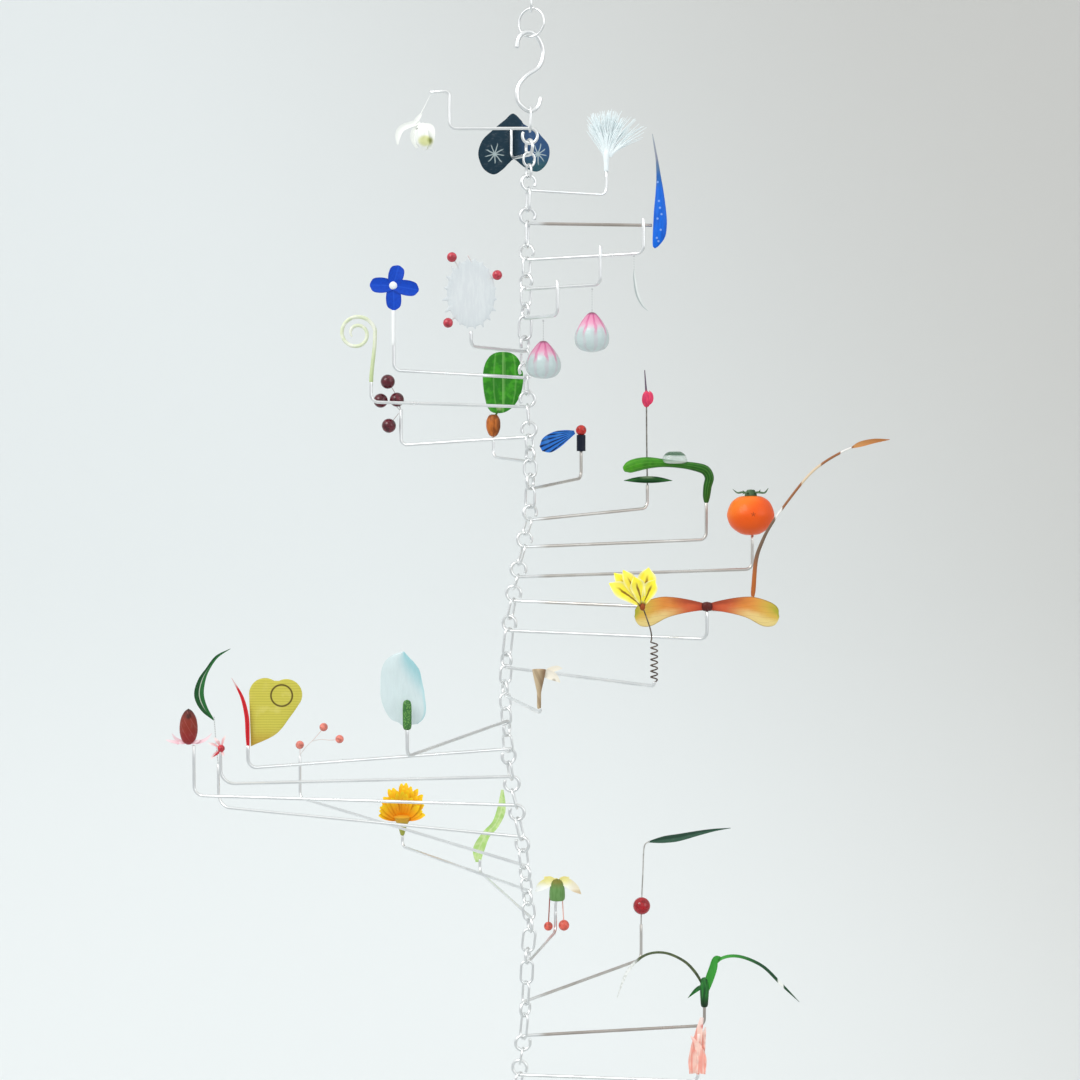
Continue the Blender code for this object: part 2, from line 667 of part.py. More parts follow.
def blue_pod():
    """A long teardrop held at its side, narrowing to a hair above."""
    sections = (
        (1.6, -9.5, 1.7), (3.4, -5.0, 3.3), (3.9, 0.0, 3.5), (3.9, 7.0, 3.1), (3.7, 16.0, 2.1),
        (3.5, 28.0, 0.9), (2.4, 37.0, 0.5),
    )
    turns = 2 * math.pi * np.arange(6) / 6
    rings = [
        np.stack([x + w * np.cos(turns), 0.6 * w * np.sin(turns), np.full(6, float(z))], axis=1)
        for x, z, w in sections
    ]
    pod = loft(rings, (1.0, 0, -11.6), (0, 0, 46.0))
    add_ornament("blue_pod", ARMS[3], BLUE, [shifted(pod, (GAP + 0.1, 0, 0))], 0.3)


def bell(name, arm, back, length, width, height):
    """A shell-like bell on a thread that hangs from the level wire, back from its bend."""
    half = width / 2
    x, y, _ = -back * heading(arm.turn)
    wire = -arm.upright - arm.rise * back / arm.reach
    profile = [(0, 0), (0.30 * half, -0.02), (0.72 * half, -0.26), (0.98 * half, -0.58)]
    profile += [(0.90 * half, -0.82), (0.45 * half, -0.97), (0, -1)]
    profile = [(r, wire - length + height * z) for r, z in profile]
    body = turned(profile, 8, (x, y, 0))
    top = wire - ARM_WIRE / 2 - GAP
    thread = tube([(x, y, top), (x, y, wire - length - 1.5)], 0.3, 3)
    add_ornament(name, arm, PINK, [body, thread])


def spiny_leaf():
    """A pale spiny oval with a red berry on a short stalk at three of its corners."""
    leaf = shifted(plate(spiny_outline(23.5, 33.0, 12, 0.22), 0.9, 1.5), (0, 0, 18.2))
    shapes = [leaf]
    for x, z, near_x, near_z in ((-9.1, 35.5, -6.0, 30.0), (12.5, 27.0, 8.0, 25.0), (-11.0, 4.3, -6.0, 9.0)):
        shapes.append(tube([(near_x, 1.5, near_z), (x, 1.5, z)], 0.4, 3))
        shapes.append(ball(2.4, (x, 1.5, z), sides=5))
    add_ornament("spiny_leaf", ARMS[7], MIST, shapes)


def blue_flower():
    """Four flat round petals and a button at their middle."""
    outline = petal_outline(4, 3.2, 12.1) * (1, 0.92)
    petals = shifted(plate(outline, 1.0), (0.8, 0, 11.2 + GAP))
    heart = turned([(0, -0.9), (1.7, -0.6), (1.7, 0.6), (0, 0.9)], 6)
    points = [(x, z, y) for x, y, z in heart[0]]
    heart = shifted((points, heart[1]), (0.6, -0.6, 11.4 + GAP))
    add_ornament("blue_flower", ARMS[8], BLUE, [petals, heart])


def acorn_and_leaf():
    """A small acorn, and over it a broad leaf with a notch on its right."""
    cup = turned([(0, GAP), (2.2, 1.4), (3.7, 5.0), (3.6, 8.6), (2.0, 11.6), (0, 12.2)], 7)
    stalk = tube([(0, 0, 11), (2.6, 0, 13.6), (3.2, 0, 15.4)], 0.5, 3)
    add_ornament("acorn", ARMS[11], BROWN, [cup, stalk])
    outline = []
    for i in range(20):
        angle = 2 * math.pi * i / 20
        reach = 1 - 0.22 * math.exp(-((angle - 0.45) / 0.22) ** 2)
        outline.append((
            10.4 * reach * math.copysign(abs(math.cos(angle)) ** 0.75, math.cos(angle)),
            14.2 * reach * math.copysign(abs(math.sin(angle)) ** 0.85, math.sin(angle)),
        ))
    leaf = shifted(plate(outline, 0.9), (5.0, 0, 15.6 + 14.2 + GAP))
    add_ornament("green_leaf", ARMS[11], GREEN, [leaf])


def striped_petal():
    """A fan that grows from the ball to a broad, slanting end."""
    top = [(-3.4, 10.6), (-9.0, 10.4), (-15.5, 7.6), (-22.0, 3.6)]
    bottom = [(-21.0, -0.6), (-19.0, -3.4), (-13.0, 0.2), (-7.5, 4.8), (-3.4, 8.0)]
    add_ornament("striped_petal", ARMS[12], BLUE, [plate(top + bottom, 0.9)])


def green_pod():
    """A stem that bends over into a plump pod, with a clear drop resting on its back."""
    path = [
        (0, 0, GAP), (0.4, 0, 9), (1.4, 0, 13.5), (-1.5, 0, 17), (-12, 0, 19.6), (-24, 0, 20.6),
        (-33, 0, 20.2), (-39, 0, 18.4), (-42.6, 0, 17.2),
    ]
    pod = tube(path, (1.3, 2.2, 2.5, 2.2, 1.7, 2.2, 3.3, 3.4, 1.8), 5)
    dome = ball(6.6, (-16.4, 0.37, 23.1), 0.55, 8)
    add_ornament("green_pod", ARMS[14], GREEN, [pod, dome], 0.3)


def orange_fruit():
    """A squat round fruit under a small calyx."""
    rows = [(0, GAP), (5.0, 1.2), (10.4, 5.6), (11.9, 10.8), (10.6, 16.0), (5.6, 20.2), (0, 20.2)]
    fruit = turned(rows, 9, (-1, 0, 0))
    calyx = turned([(1.5, 18.7), (3.4, 21.1), (2.2, 23.4)], 6, (-0.9, 0.1, 0))
    left = blade([(0.6, -0.3, 22.4), (-6, -0.4, 22.3), (-10.2, 0, 23.9)], (1.4,), 0.9)
    right = blade([(-2.3, 0.4, 22.1), (4.5, 0.5, 22.2), (8.1, 0, 24.4)], (1.4,), 0.9)
    add_ornament("orange_fruit", ARMS[15], ORANGE, [fruit, calyx, left, right], 0.3)


def maple_key():
    """Two wings that rise from a dark seed, broaden and droop at their rounded ends."""
    shapes = [turned([(1.6, GAP), (2.5, 1.0), (2.5, 3.8), (1.6, 4.6)], 6)]
    for side in (-1, 1):
        outline = []
        spine = (
            (1.0, 2.4, 1.6), (8.0, 2.8, 2.9), (16.0, 2.6, 4.4), (22.0, 1.6, 5.4), (28.7, -1.3, 6.0),
            (32.6, -3.0, 4.3), (34.2, -3.4, 1.8),
        )
        outline += [(side * x, z + w) for x, z, w in spine]
        outline += [(side * x, z - w) for x, z, w in reversed(spine)]
        shapes.append(plate(outline, 0.9))
    add_ornament("maple_key", ARMS[17], AMBER, shapes)


def yellow_flower():
    """Five pointed petals that open up and to the left from the end of the stem."""
    root = np.array([-5.5, 0, 34.6])
    shapes = [ball(1.7, root, 1.3)]
    petals = ((-15.5, -2, 11, 7), (-13, 2, 15.5, 7), (-4, -3, 14, 7), (3.0, 2, 18, 8), (5.5, -2, 12.5, 6))
    for number, (x, y, z, width) in enumerate(petals):
        out = np.array([x, y, z])
        start = root - out * 0.04 + (0, 0.1 * number - 0.2, 0.3)
        path = [start, start + out * 0.35, start + out * 0.75, root + out]
        shapes.append(blade(path, (width * 0.6, width), 1.2, (0.1, -1, 0.2)))
    add_ornament("yellow_flower", ARMS[18], YELLOW, shapes)


def trumpet():
    """A slim paper cone with two loose petals at its mouth."""
    horn = turned([(0.9, GAP), (1.0, 7.0), (1.5, 9.0), (3.3, 18.0), (2.6, 18.4), (0, 14.0)], 7, (-0.6, 0, 0))
    bits = [
        blade([(1.0, 0, 15.5), (5.0, -0.6, 15.6), (9.5, -1, 12.6)], (4.0,), 1.6),
        blade([(1.2, 0.4, 16), (5.5, 0.6, 18.6), (10.5, 0.8, 19.0)], (2.6,), 1.4),
    ]
    add_ornament("paper_trumpet", ARMS[19], SAND, [horn, *bits])


def spathe():
    """A pointed hood, wide low down, that stands behind the spadix."""
    rows = ((4.9, 6.5, 0.2), (12.6, 10.0, -3.0), (19.3, 9.5, -3.1), (26.0, 8.1, -3.6), (30.5, 4.5, -2.7))
    rings = []
    for z, half, middle in rows:
        front = [(middle + half * s, 2.9 + 2.2 * (1 - s * s), z) for s in (-1, -0.5, 0, 0.5, 1)]
        back = [(x, y + 0.8, z) for x, y, z in reversed(front)]
        rings.append(front + back)
    add_ornament("pale_spathe", ARMS[20], AQUA, [loft(rings, (1.0, 3.4, 0.6), (-1.8, 3.4, 34.4))], 0.2)


def heart_leaf():
    """Two round lobes over a long point, the left edge upright against the red blade."""
    outline = [(1.2, -0.5)]
    for x, z, radius, first, last in ((8.0, 24.2, 7.5, 182, 38), (18.0, 23.8, 7.4, 130, -28)):
        for angle in np.radians(np.linspace(first, last, 7)):
            outline.append((x + radius * math.cos(angle), z + radius * math.sin(angle)))
    outline.append((11.8, 6.2))
    add_ornament("heart_leaf", ARMS[21], OLIVE, [plate(outline, 0.9, 1.9)])


def brown_bud():
    """A pointed bud over thin, spreading petals."""
    bud = turned([(0, -0.6), (2.6, 0.8), (4.5, 6.0), (4.4, 11.5), (2.4, 16.8), (0, 18.4)], 6, (-2.6, 0, 0))
    bud = shifted(bud, (0, 0, 0.9 + GAP))
    shapes = [bud]
    for x, z in ((-14.4, 3.0), (9.8, 6.7), (-8.5, 0.6)):
        root = np.array([-2.6, 0, 2.6])
        shapes.append(blade([root, root + (x * 0.55, -1.0, -0.6), (x, -1.4, z)], (2.8,), 0.9))
    add_ornament("brown_bud", ARMS[23], BROWN, shapes)


def yellow_aster():
    """A fan of narrow petals above a small green cup."""
    cup = turned([(1.1, GAP), (2.0, 3.0), (3.0, 6.5), (6.0, 11.0), (0, 12.0)], 7)
    shapes = [cup]
    petals = 7
    for i in range(petals):
        lean = -68 + 136 * i / (petals - 1)
        out = np.array([math.sin(math.radians(lean)), -0.35 + 0.7 * (i % 2), math.cos(math.radians(lean))])
        root = np.array([0, 0, 9.0])
        reach = 14.5 + 5.5 * math.cos(math.radians(lean))
        path = [root, root + out * reach * 0.7, root + out * reach]
        shapes.append(blade(path, (5.2,), 2.4))
    add_ornament("yellow_aster", ARMS[26], YELLOW, shapes)


def fuchsia():
    """A dome that its wire runs up into, with spreading petals above and two beads on stalks below."""
    dome = turned([(3.6, 5.0), (3.8, 9.0), (3.0, 13.6), (0, 16.2)], 7)
    wire_end = turned([(0.5, GAP), (0.5, 6.5)], 6)
    shapes = [dome, wire_end]
    for x, z in ((-10.8, 10.6), (13.8, 9.4), (-6.0, 18.6), (7.5, 18.4)):
        shapes.append(blade([(0, 0, 13.5), (x * 0.55, 0.2, 12.2 + (z - 11) * 0.5), (x, 0, z)], (5.0,), 1.6))
    for x, z in ((-4.3, -7.9), (4.3, -7.4)):
        shapes.append(tube([(x * 0.6, 0, 7.0), (x, 0, z)], 0.35, 3, across=(0.1, 1, 0)))
        shapes.append(ball(2.7, (x, 0, z), sides=5))
    add_ornament("fuchsia", ARMS[28], GREEN, shapes)


def pink_coral():
    """A branching stem that leans and forks as it rises."""
    stem = tube([(0, 0, GAP), (-1.2, 0, 9), (0.6, 0, 18), (2.0, 0, 29)], (2.6, 2.4, 2.2, 1.0), 5)
    shapes = [stem]
    for x, z, far_x, far_z in ((-1.0, 10, -4.6, 19), (0.4, 17, 4.4, 24), (-0.8, 5, 3.4, 12)):
        shapes.append(tube([(x, 0, z), (far_x, 0, far_z)], (1.5, 0.7), 4, across=(0.1, 1, 0)))
    add_ornament("pink_coral", ARMS[31], CORAL, shapes)


def main():
    for thing in list(bpy.data.objects):
        bpy.data.objects.remove(thing, do_unlink=True)
    hanging_link()
    ceiling_ring()
    s_hook()
    top_link()
    for arm, lower in zip(ARMS, [*ARMS[1:], None]):
        extras = FIXED_TO_TIP.get(arm.name, tuple)()
        add_arm(arm, lower, extras, crook(arm))
    snowdrop()
    navy_leaf()
    white_tassel()
    blue_pod()
    bell("pink_bell", ARMS[5], 5.1, 13.1, 17.0, 19.4)
    bell("small_bell", ARMS[6], 16.0, 11.8, 17.4, 18.6)
    spiny_leaf()
    blue_flower()
    acorn_and_leaf()
    striped_petal()
    green_pod()
    orange_fruit()
    maple_key()
    yellow_flower()
    trumpet()
    spathe()
    heart_leaf()
    brown_bud()
    yellow_aster()
    fuchsia()
    pink_coral()


main()
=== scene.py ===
"""A hanging mobile of paper flowers, leaves, pods and berries on bent wire arms.

Lengths in the shapes are millimetres from the hang point or from the tip of an arm: x is to the
right as the mobile is looked at, y is away, z is up. A mesh is put down in metres.
"""
import math
from collections import namedtuple

import bmesh
import bpy
import numpy as np
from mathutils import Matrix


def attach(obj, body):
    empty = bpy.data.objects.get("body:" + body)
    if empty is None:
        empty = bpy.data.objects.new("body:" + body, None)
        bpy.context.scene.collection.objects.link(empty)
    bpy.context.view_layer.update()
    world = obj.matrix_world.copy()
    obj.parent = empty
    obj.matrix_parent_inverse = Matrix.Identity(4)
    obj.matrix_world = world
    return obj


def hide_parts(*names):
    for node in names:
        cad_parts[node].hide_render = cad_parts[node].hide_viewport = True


bl_info = {
    "name": "Paper mobile",
    "version": (1, 0, 0),
    "blender": (4, 5, 0),
    "location": "3D View > Sidebar > Mobile",
    "description": "Builds a mobile of paper flowers and fruit on wire arms",
    "category": "Add Mesh",
}

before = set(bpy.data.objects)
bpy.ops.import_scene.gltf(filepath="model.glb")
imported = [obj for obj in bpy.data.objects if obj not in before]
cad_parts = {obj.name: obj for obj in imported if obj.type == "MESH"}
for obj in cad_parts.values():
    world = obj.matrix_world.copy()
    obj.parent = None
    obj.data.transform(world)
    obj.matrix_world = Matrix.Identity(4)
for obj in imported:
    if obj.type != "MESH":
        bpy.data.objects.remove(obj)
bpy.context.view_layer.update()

MM = 0.001
ABOVE = 1
BELOW = -1

# Where the chain hangs, as depth below the hang point and sideways sway
SWAY = (
    (56, -0.5), (178, -3.4), (235, -0.6), (262, -0.8), (310, -10.5), (348, -13.5),
    (385, -11.0), (420, -4.8), (462, -0.8), (515, -3.8), (580, -9.0),
)

# One arm: how far down its wire leaves the chain, which way it points, how far it reaches and
# rises, how long its upright is, and whether its eye stands above or below the wire
Arm = namedtuple("Arm", "name drop turn reach rise upright eye")
ARMS = (
    Arm("arm_01_snowdrop", 67.5, 179, 40.0, 0.0, 17.5, BELOW),
    Arm("arm_02_navy_leaf", 80.5, 116, 21.0, 1.0, 15.0, ABOVE),
    Arm("arm_03_white_tassel", 98.0, 24, 43.0, 0.0, 11.5, ABOVE),
    Arm("arm_04_blue_pod", 114.5, 7, 62.5, 0.0, 0.0, ABOVE),
    Arm("arm_05_thin_leaf", 132.5, -29, 64.5, 0.0, 16.5, ABOVE),
    Arm("arm_06_pink_bell", 147.0, -40, 47.0, -0.5, 18.5, ABOVE),
    Arm("arm_07_small_bell", 161.5, -65, 37.0, -1.0, 16.5, ABOVE),
    Arm("arm_08_spiny_leaf", 178.0, -120, 50.5, 0.0, 7.0, ABOVE),
    Arm("arm_09_blue_flower", 191.0, -151, 72.5, 2.0, 28.2, ABOVE),
    Arm("arm_10_tendril", 205.5, -170, 78.0, 2.0, 11.0, ABOVE),
    Arm("arm_11_dark_berries", 220.5, 166, 67.0, -4.0, 18.0, ABOVE),
    Arm("arm_12_acorn", 233.0, 122, 36.0, 2.5, 10.0, ABOVE),
    Arm("arm_13_striped_petal", 246.5, 65, 63.0, 5.0, 15.0, ABOVE),
    Arm("arm_14_pink_bud", 262.0, 33, 72.5, 5.0, 12.0, ABOVE),
    Arm("arm_15_green_pod", 275.5, 19, 99.0, 2.5, 19.0, ABOVE),
    Arm("arm_16_orange_fruit", 290.5, 8, 120.0, 3.0, 17.0, ABOVE),
    Arm("arm_17_reed", 302.5, -15, 120.5, -3.0, 8.0, ABOVE),
    Arm("arm_18_maple_key", 317.5, -30, 109.0, 0.5, 13.0, ABOVE),
    Arm("arm_19_yellow_flower", 336.0, -51, 110.0, 0.0, 2.0, ABOVE),
    Arm("arm_20_trumpet", 350.0, -72, 57.5, -2.0, 2.0, ABOVE),
    Arm("arm_21_pale_spathe", 363.0, -113, 110.5, -3.0, 13.0, BELOW),
    Arm("arm_22_heart_leaf", 377.0, -151, 138.5, 0.5, 10.5, BELOW),
    Arm("arm_23_small_flower", 391.0, -172, 144.5, -0.5, 17.0, BELOW),
    Arm("arm_24_brown_bud", 405.5, 170, 170.0, 0.0, 26.0, BELOW),
    Arm("arm_25_crescent_leaf", 421.5, 150, 194.5, -1.5, 23.5, BELOW),
    Arm("arm_26_coral_berries", 436.0, 130, 205.5, 8.0, 24.5, BELOW),
    Arm("arm_27_yellow_aster", 448.5, 121, 138.0, -0.5, 6.0, BELOW),
    Arm("arm_28_wavy_leaf", 462.0, 105, 110.0, 1.0, 7.0, BELOW),
    Arm("arm_29_fuchsia", 485.5, 76, 60.5, 2.0, 11.0, ABOVE),
    Arm("arm_30_red_berry", 505.0, 52, 101.5, 1.5, 19.0, BELOW),
    Arm("arm_31_arching_leaves", 522.5, 9, 94.0, 1.0, 11.0, BELOW),
    Arm("arm_32_pink_coral", 542.5, -14, 91.0, 3.5, 3.5, ABOVE),
    Arm("arm_33_seed_head", 558.5, -50, 66.0, 0.0, 11.0, ABOVE),
    Arm("arm_34_last_leaf", 574.5, -85, 48.0, 0.0, 13.0, ABOVE),
)
# Arms whose wire takes a greyer copy of the steel and arms whose wire takes a brownish copy, painted shade and
# reflection on those arms, and arms with a wider bend than the rest, in millimetres
SHADED_GREY_ARMS = (13, 14, 15, 16, 17, 30)
SHADED_BROWN_ARMS = (4, 31)
WIDE_BENDS = {22: 4.5, 23: 7.0, 24: 5.0, 25: 8.0}


# Settings


def length(name, description, default):
    return bpy.props.FloatProperty(name=name, description=description, default=default, unit="LENGTH", precision=5)


def colour(name, code):
    return bpy.props.FloatVectorProperty(
        name=name, description=f"{name} of the paper and paint", subtype="COLOR", size=3, min=0, max=1,
        default=tint(code)[:3],
    )


def tint(code):
    """A colour written as six hex digits, as linear red, green, blue and an alpha of 1."""
    parts = [int(code[i:i + 2], 16) / 255 for i in (0, 2, 4)]
    return (*[c / 12.92 if c < 0.04045 else ((c + 0.055) / 1.055) ** 2.4 for c in parts], 1.0)


class WireSizes(bpy.types.PropertyGroup):
    arm_wire: length("Arm wire", "Diameter of the wire of the arms", 0.0016)
    eye_radius: length("Eye radius", "Radius of an arm's eye, to the middle of its wire", 0.0037)
    bend_radius: length("Bend radius", "Radius of the bend below an upright", 0.0035)
    link_wire: length("Link wire", "Diameter of the wire of the chain's links", 0.00125)
    link_width: length("Link width", "Width of a link, between the middles of its two sides", 0.006)
    ring_radius: length("Ring radius", "Radius of the ring above the hook", 0.007)
    ring_wire: length("Ring wire", "Diameter of the ring's wire", 0.0012)
    hook_wire: length("Hook wire", "Diameter of the hook's wire", 0.0022)
    thread: length("Thread", "Diameter of a hanging thread", 0.0004)


class PaintColours(bpy.types.PropertyGroup):
    white: colour("White", "f3f5f1")
    navy: colour("Navy", "14303f")
    azure: colour("Azure", "0f6ae0")
    royal: colour("Royal blue", "0d47c0")
    magenta: colour("Magenta", "d3508f")
    mist: colour("Mist", "dbe0e3")
    leaf: colour("Leaf green", "2a7a1a")
    dark_leaf: colour("Dark leaf green", "1c4f28")
    maroon: colour("Maroon", "5a1020")
    acorn: colour("Acorn brown", "c8702e")
    orange: colour("Fruit orange", "ee5a08")
    red: colour("Berry red", "b01020")
    yellow: colour("Petal yellow", "fff03c")
    sand: colour("Sand", "cbb594")
    aqua: colour("Aqua", "dcebed")
    olive: colour("Olive", "cdc452")
    coral: colour("Coral", "f08878")


class StageSettings(bpy.types.PropertyGroup):
    backdrop: colour("Backdrop", "e9edee")
    key: bpy.props.FloatProperty(name="Key light", description="Power of the soft key light", default=18.0, unit="POWER")
    sky: bpy.props.FloatProperty(name="Sky", description="Strength of the soft light all round", default=1.0)
    focal: bpy.props.FloatProperty(name="Lens", description="Focal length on a 36 mm frame", default=66.67)


# Curves and surfaces: a Skin is points in millimetres, its faces, and for each point its place
# on the form: the share along, the share across from -1 to 1, and a number of its own

Skin = namedtuple("Skin", "points quads tris form")


def unit(vectors):
    vectors = np.asarray(vectors, float)
    return vectors / np.linalg.norm(vectors, axis=-1, keepdims=True)


def heading(turn):
    """The level direction at a number of degrees anticlockwise from +X."""
    return np.array([math.cos(math.radians(turn)), math.sin(math.radians(turn)), 0.0])


def smooth(marks, count):
    """A curve through marks: the cubic whose slope at a mark is half the step between its neighbours."""
    marks = np.asarray(marks, float)
    flat = marks.reshape(len(marks), -1)
    flat = np.concatenate([2 * flat[:1] - flat[1:2], flat, 2 * flat[-1:] - flat[-2:-1]])
    t = np.linspace(0, len(marks) - 1, count)
    i = np.minimum(t.astype(int), len(marks) - 2)
    t = (t - i)[:, None]
    a, b, c, d = (flat[i + k] for k in range(4))
    made = b + t / 2 * ((c - a) + t * ((2 * a - 5 * b + 4 * c - d) + t * (3 * (b - c) + d - a)))
    return made.reshape(count, *marks.shape[1:])


def closed(marks, per=7):
    """A smooth closed curve through marks, with per points from each mark to the next."""
    marks = np.asarray(marks, float)
    round_again = np.concatenate([marks[-1:], marks, marks[:2]])
    return smooth(round_again, (len(marks) + 2) * per + 1)[per:(len(marks) + 1) * per]


def arc(centre, radius, first, last, count, right=(1, 0, 0), up=(0, 0, 1)):
    """Centre + radius·cos·right + radius·sin·up, for angles in degrees from first to last."""
    turns = np.radians(np.linspace(first, last, count))[:, None]
    return np.asarray(centre, float) + radius * (np.cos(turns) * np.asarray(right) + np.sin(turns) * np.asarray(up))


def corner(before, knee, after, count=10):
    """The cubic from before to after whose handles point at the knee, near to an arc of a circle."""
    before, knee, after = (np.asarray(p, float) for p in (before, knee, after))
    near, far = before + 0.5523 * (knee - before), after + 0.5523 * (knee - after)
    t = np.linspace(0, 1, count)[:, None]
    return (1 - t) ** 3 * before + 3 * t * (1 - t) ** 2 * near + 3 * t * t * (1 - t) * far + t ** 3 * after


def skin(rings, along, across, loop=False, number=0.0):
    """Rows of points, each closed round and joined to the next. A fan to its middle closes each end
    row, or loop joins the last row to the first."""
    rings = np.asarray(rings, float)
    rows, around = rings.shape[:2]
    near = np.arange(rows * around).reshape(rows, around)
    far = np.roll(near, -1, axis=1)
    quads = np.stack([near, far, np.roll(far, -1, axis=0), np.roll(near, -1, axis=0)], axis=-1)
    form = np.stack(np.broadcast_arrays(along, across, number), axis=-1).reshape(-1, 3).astype(float)
    points = rings.reshape(-1, 3)
    if loop:
        return Skin(points, quads.reshape(-1, 4), np.zeros((0, 3), int), form)
    middle = len(points) + np.arange(2)[:, None] + np.zeros((1, around), int)
    start = np.stack([far[0], near[0], middle[0]], axis=-1)
    end = np.stack([near[-1], far[-1], middle[1]], axis=-1)
    points = np.concatenate([points, rings[[0, -1]].mean(axis=1)])
    ends = form.reshape(rows, around, 3)[[0, -1]].mean(axis=1)
    return Skin(points, quads[:-1].reshape(-1, 4), np.concatenate([start, end]), np.concatenate([form, ends]))


def tube(path, radius, facing=(0, -1, 0), sides=10, loop=False, number=0.0):
    """A round wire: about each point of the path, r·cos·side + r·sin·up, with side square to the
    path and to facing. Its free ends are rounded over by two smaller rings."""
    path = np.asarray(path, float)
    radius = np.broadcast_to(np.asarray(radius, float), len(path))
    if not loop:
        round_off = np.radians([35, 75])
        ends = unit(path[[0, -1]] - path[[1, -2]]) * 0.4 * radius[[0, -1], None]
        path = np.concatenate([
            path[0] + ends[0] * np.sin(round_off)[::-1, None], path, path[-1] + ends[1] * np.sin(round_off)[:, None],
        ])
        radius = np.concatenate([radius[0] * np.cos(round_off)[::-1], radius, radius[-1] * np.cos(round_off)])
    ahead = unit(np.roll(path, -1, 0) - np.roll(path, 1, 0) if loop else np.gradient(path, axis=0))
    side = unit(np.cross(ahead, facing))
    up = np.cross(side, ahead)
    turns = 2 * np.pi * np.arange(sides)[None, :, None] / sides
    rings = path[:, None] + radius[:, None, None] * (np.cos(turns) * side[:, None] + np.sin(turns) * up[:, None])
    steps = np.linalg.norm(np.diff(path, axis=0), axis=1)
    along = np.concatenate([[0], np.cumsum(steps)]) / steps.sum()
    return skin(rings, along[:, None], np.cos(turns[0, :, 0])[None], loop, number)


def turned(profile, centre=(0, 0, 0), sides=32, squash=1.0, ribs=0, swell=0.0, count=28, number=0.0):
    """A profile of (radius, height) turned about the upright: centre + (r·cos, squash·r·sin, h). Where
    it has ribs, r grows by swell·share·cos(ribs·angle), share being the way along the profile."""
    radius, height = smooth(profile, count).T
    radius = np.maximum(radius, 0.03)[:, None]
    share = np.linspace(0, 1, count)[:, None]
    turns = 2 * np.pi * np.arange(sides)[None] / sides
    radius = radius * (1 + swell * share * np.cos(ribs * turns))
    rings = np.stack([radius * np.cos(turns), squash * radius * np.sin(turns), height[:, None] + 0 * turns], axis=-1)
    return skin(rings + centre, share, turns / np.pi - 1, number=number)


def bead(centre, radius, tall=1.0, sides=24, number=0.0):
    """A ball, or an egg where tall isn't 1: circles of radius r·cos at a height of tall·r·sin."""
    lean = np.radians(np.linspace(-87, 87, 17))
    rings = np.stack([radius * np.cos(lean), radius * tall * np.sin(lean)], axis=1)
    return turned(rings, centre, sides, count=17, number=number)


def leaf(path, halves, thick=0.5, facing=(0, -1, 0), cup=0.0, fold=0.0, wave=0.0, waves=3.0, rows=40, number=0.0):
    """A blade along a curve. At u along and v from -1 to 1 across it, a point is curve(u) +
    half(u)·v·side + half(u)·(cup·v² + fold·|v|)·front + wave·v²·sin(waves·2π·u)·front, and the
    back is that moved by the thickness, which falls to a third at the edges."""
    middle = smooth(path, rows)
    half = np.maximum(smooth(halves, rows), 0.12)[:, None, None]
    ahead = unit(np.gradient(middle, axis=0))
    side = unit(np.cross(ahead, unit(facing)))
    front = np.cross(side, ahead)[:, None]
    v = np.linspace(-1, 1, 11)[None, :, None]
    u = np.linspace(0, 1, rows)[:, None, None]
    rise = half * (cup * v * v + fold * np.abs(v)) + wave * v * v * np.sin(2 * np.pi * waves * u)
    sheet = middle[:, None] + half * v * side[:, None] + rise * front
    deep = thick / 2 * (1 - 0.66 * v * v) * np.minimum(1, half / 0.8) * front
    rings = np.concatenate([sheet + deep, (sheet - deep)[:, ::-1]], axis=1)
    across = np.concatenate([v[0, :, 0], v[0, ::-1, 0]])[None]
    return skin(rings, u[:, :, 0], across, number=number)


def disc(outline, middle, thick=0.6, depth=0.0, bulge=0.0, sweep=(0.0, 0.0), rows=12, number=0.0):
    """A sheet inside an outline of (x, z) pairs, drawn with y up to depth. Row s of the front is
    middle + s·(outline - middle), standing bulge·(1 - s²) proud and leaning by sweep with x and
    z squared; the back is the same, the thickness behind, and both thin out at the edge."""
    outline, middle = np.asarray(outline, float), np.asarray(middle, float)
    s = np.sin(np.linspace(0.05, np.pi / 2, rows))[:, None]
    flat = middle + s[..., None] * (outline - middle)
    out = (flat - middle) ** 2
    level = depth - bulge * (1 - s * s) + sweep[0] * out[..., 0] + sweep[1] * out[..., 1]
    deep = thick / 2 * np.sqrt(1 - 0.9 * s ** 12)
    front, back = (np.stack([flat[..., 0], level + d, flat[..., 1]], axis=-1) for d in (-deep, deep))
    rings = np.concatenate([front, back[::-1]])
    along = np.concatenate([s, s[::-1]])
    return skin(rings, along, np.linspace(-1, 1, len(outline))[None], number=number)


def piece(name, node, finish, skins, place=(0, 0, 0)):
    """Puts shapes down as one object, facing outwards, that stands for a CAD node."""
    starts = np.cumsum([0, *[len(s.points) for s in skins[:-1]]])
    points = np.concatenate([s.points for s in skins]) + np.asarray(place, float)
    quads = np.concatenate([s.quads + n for s, n in zip(skins, starts)])
    tris = np.concatenate([s.tris + n for s, n in zip(skins, starts)])
    mesh = bpy.data.meshes.new(name)
    mesh.from_pydata((MM * points).tolist(), [], quads.tolist() + tris.tolist())
    form = mesh.attributes.new("form", "FLOAT_VECTOR", "POINT")
    form.data.foreach_set("vector", np.concatenate([s.form for s in skins]).ravel())
    work = bmesh.new()
    work.from_mesh(mesh)
    bmesh.ops.recalc_face_normals(work, faces=work.faces)
    work.to_mesh(mesh)
    work.free()
    mesh.polygons.foreach_set("use_smooth", np.ones(len(mesh.polygons), bool))
    mesh.set_sharp_from_angle(angle=math.radians(55))
    mesh.materials.append(finish.material)
    thing = bpy.data.objects.new(name, mesh)
    bpy.context.scene.collection.objects.link(thing)
    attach(thing, "root")
    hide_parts(node)
    return thing


# Finishes


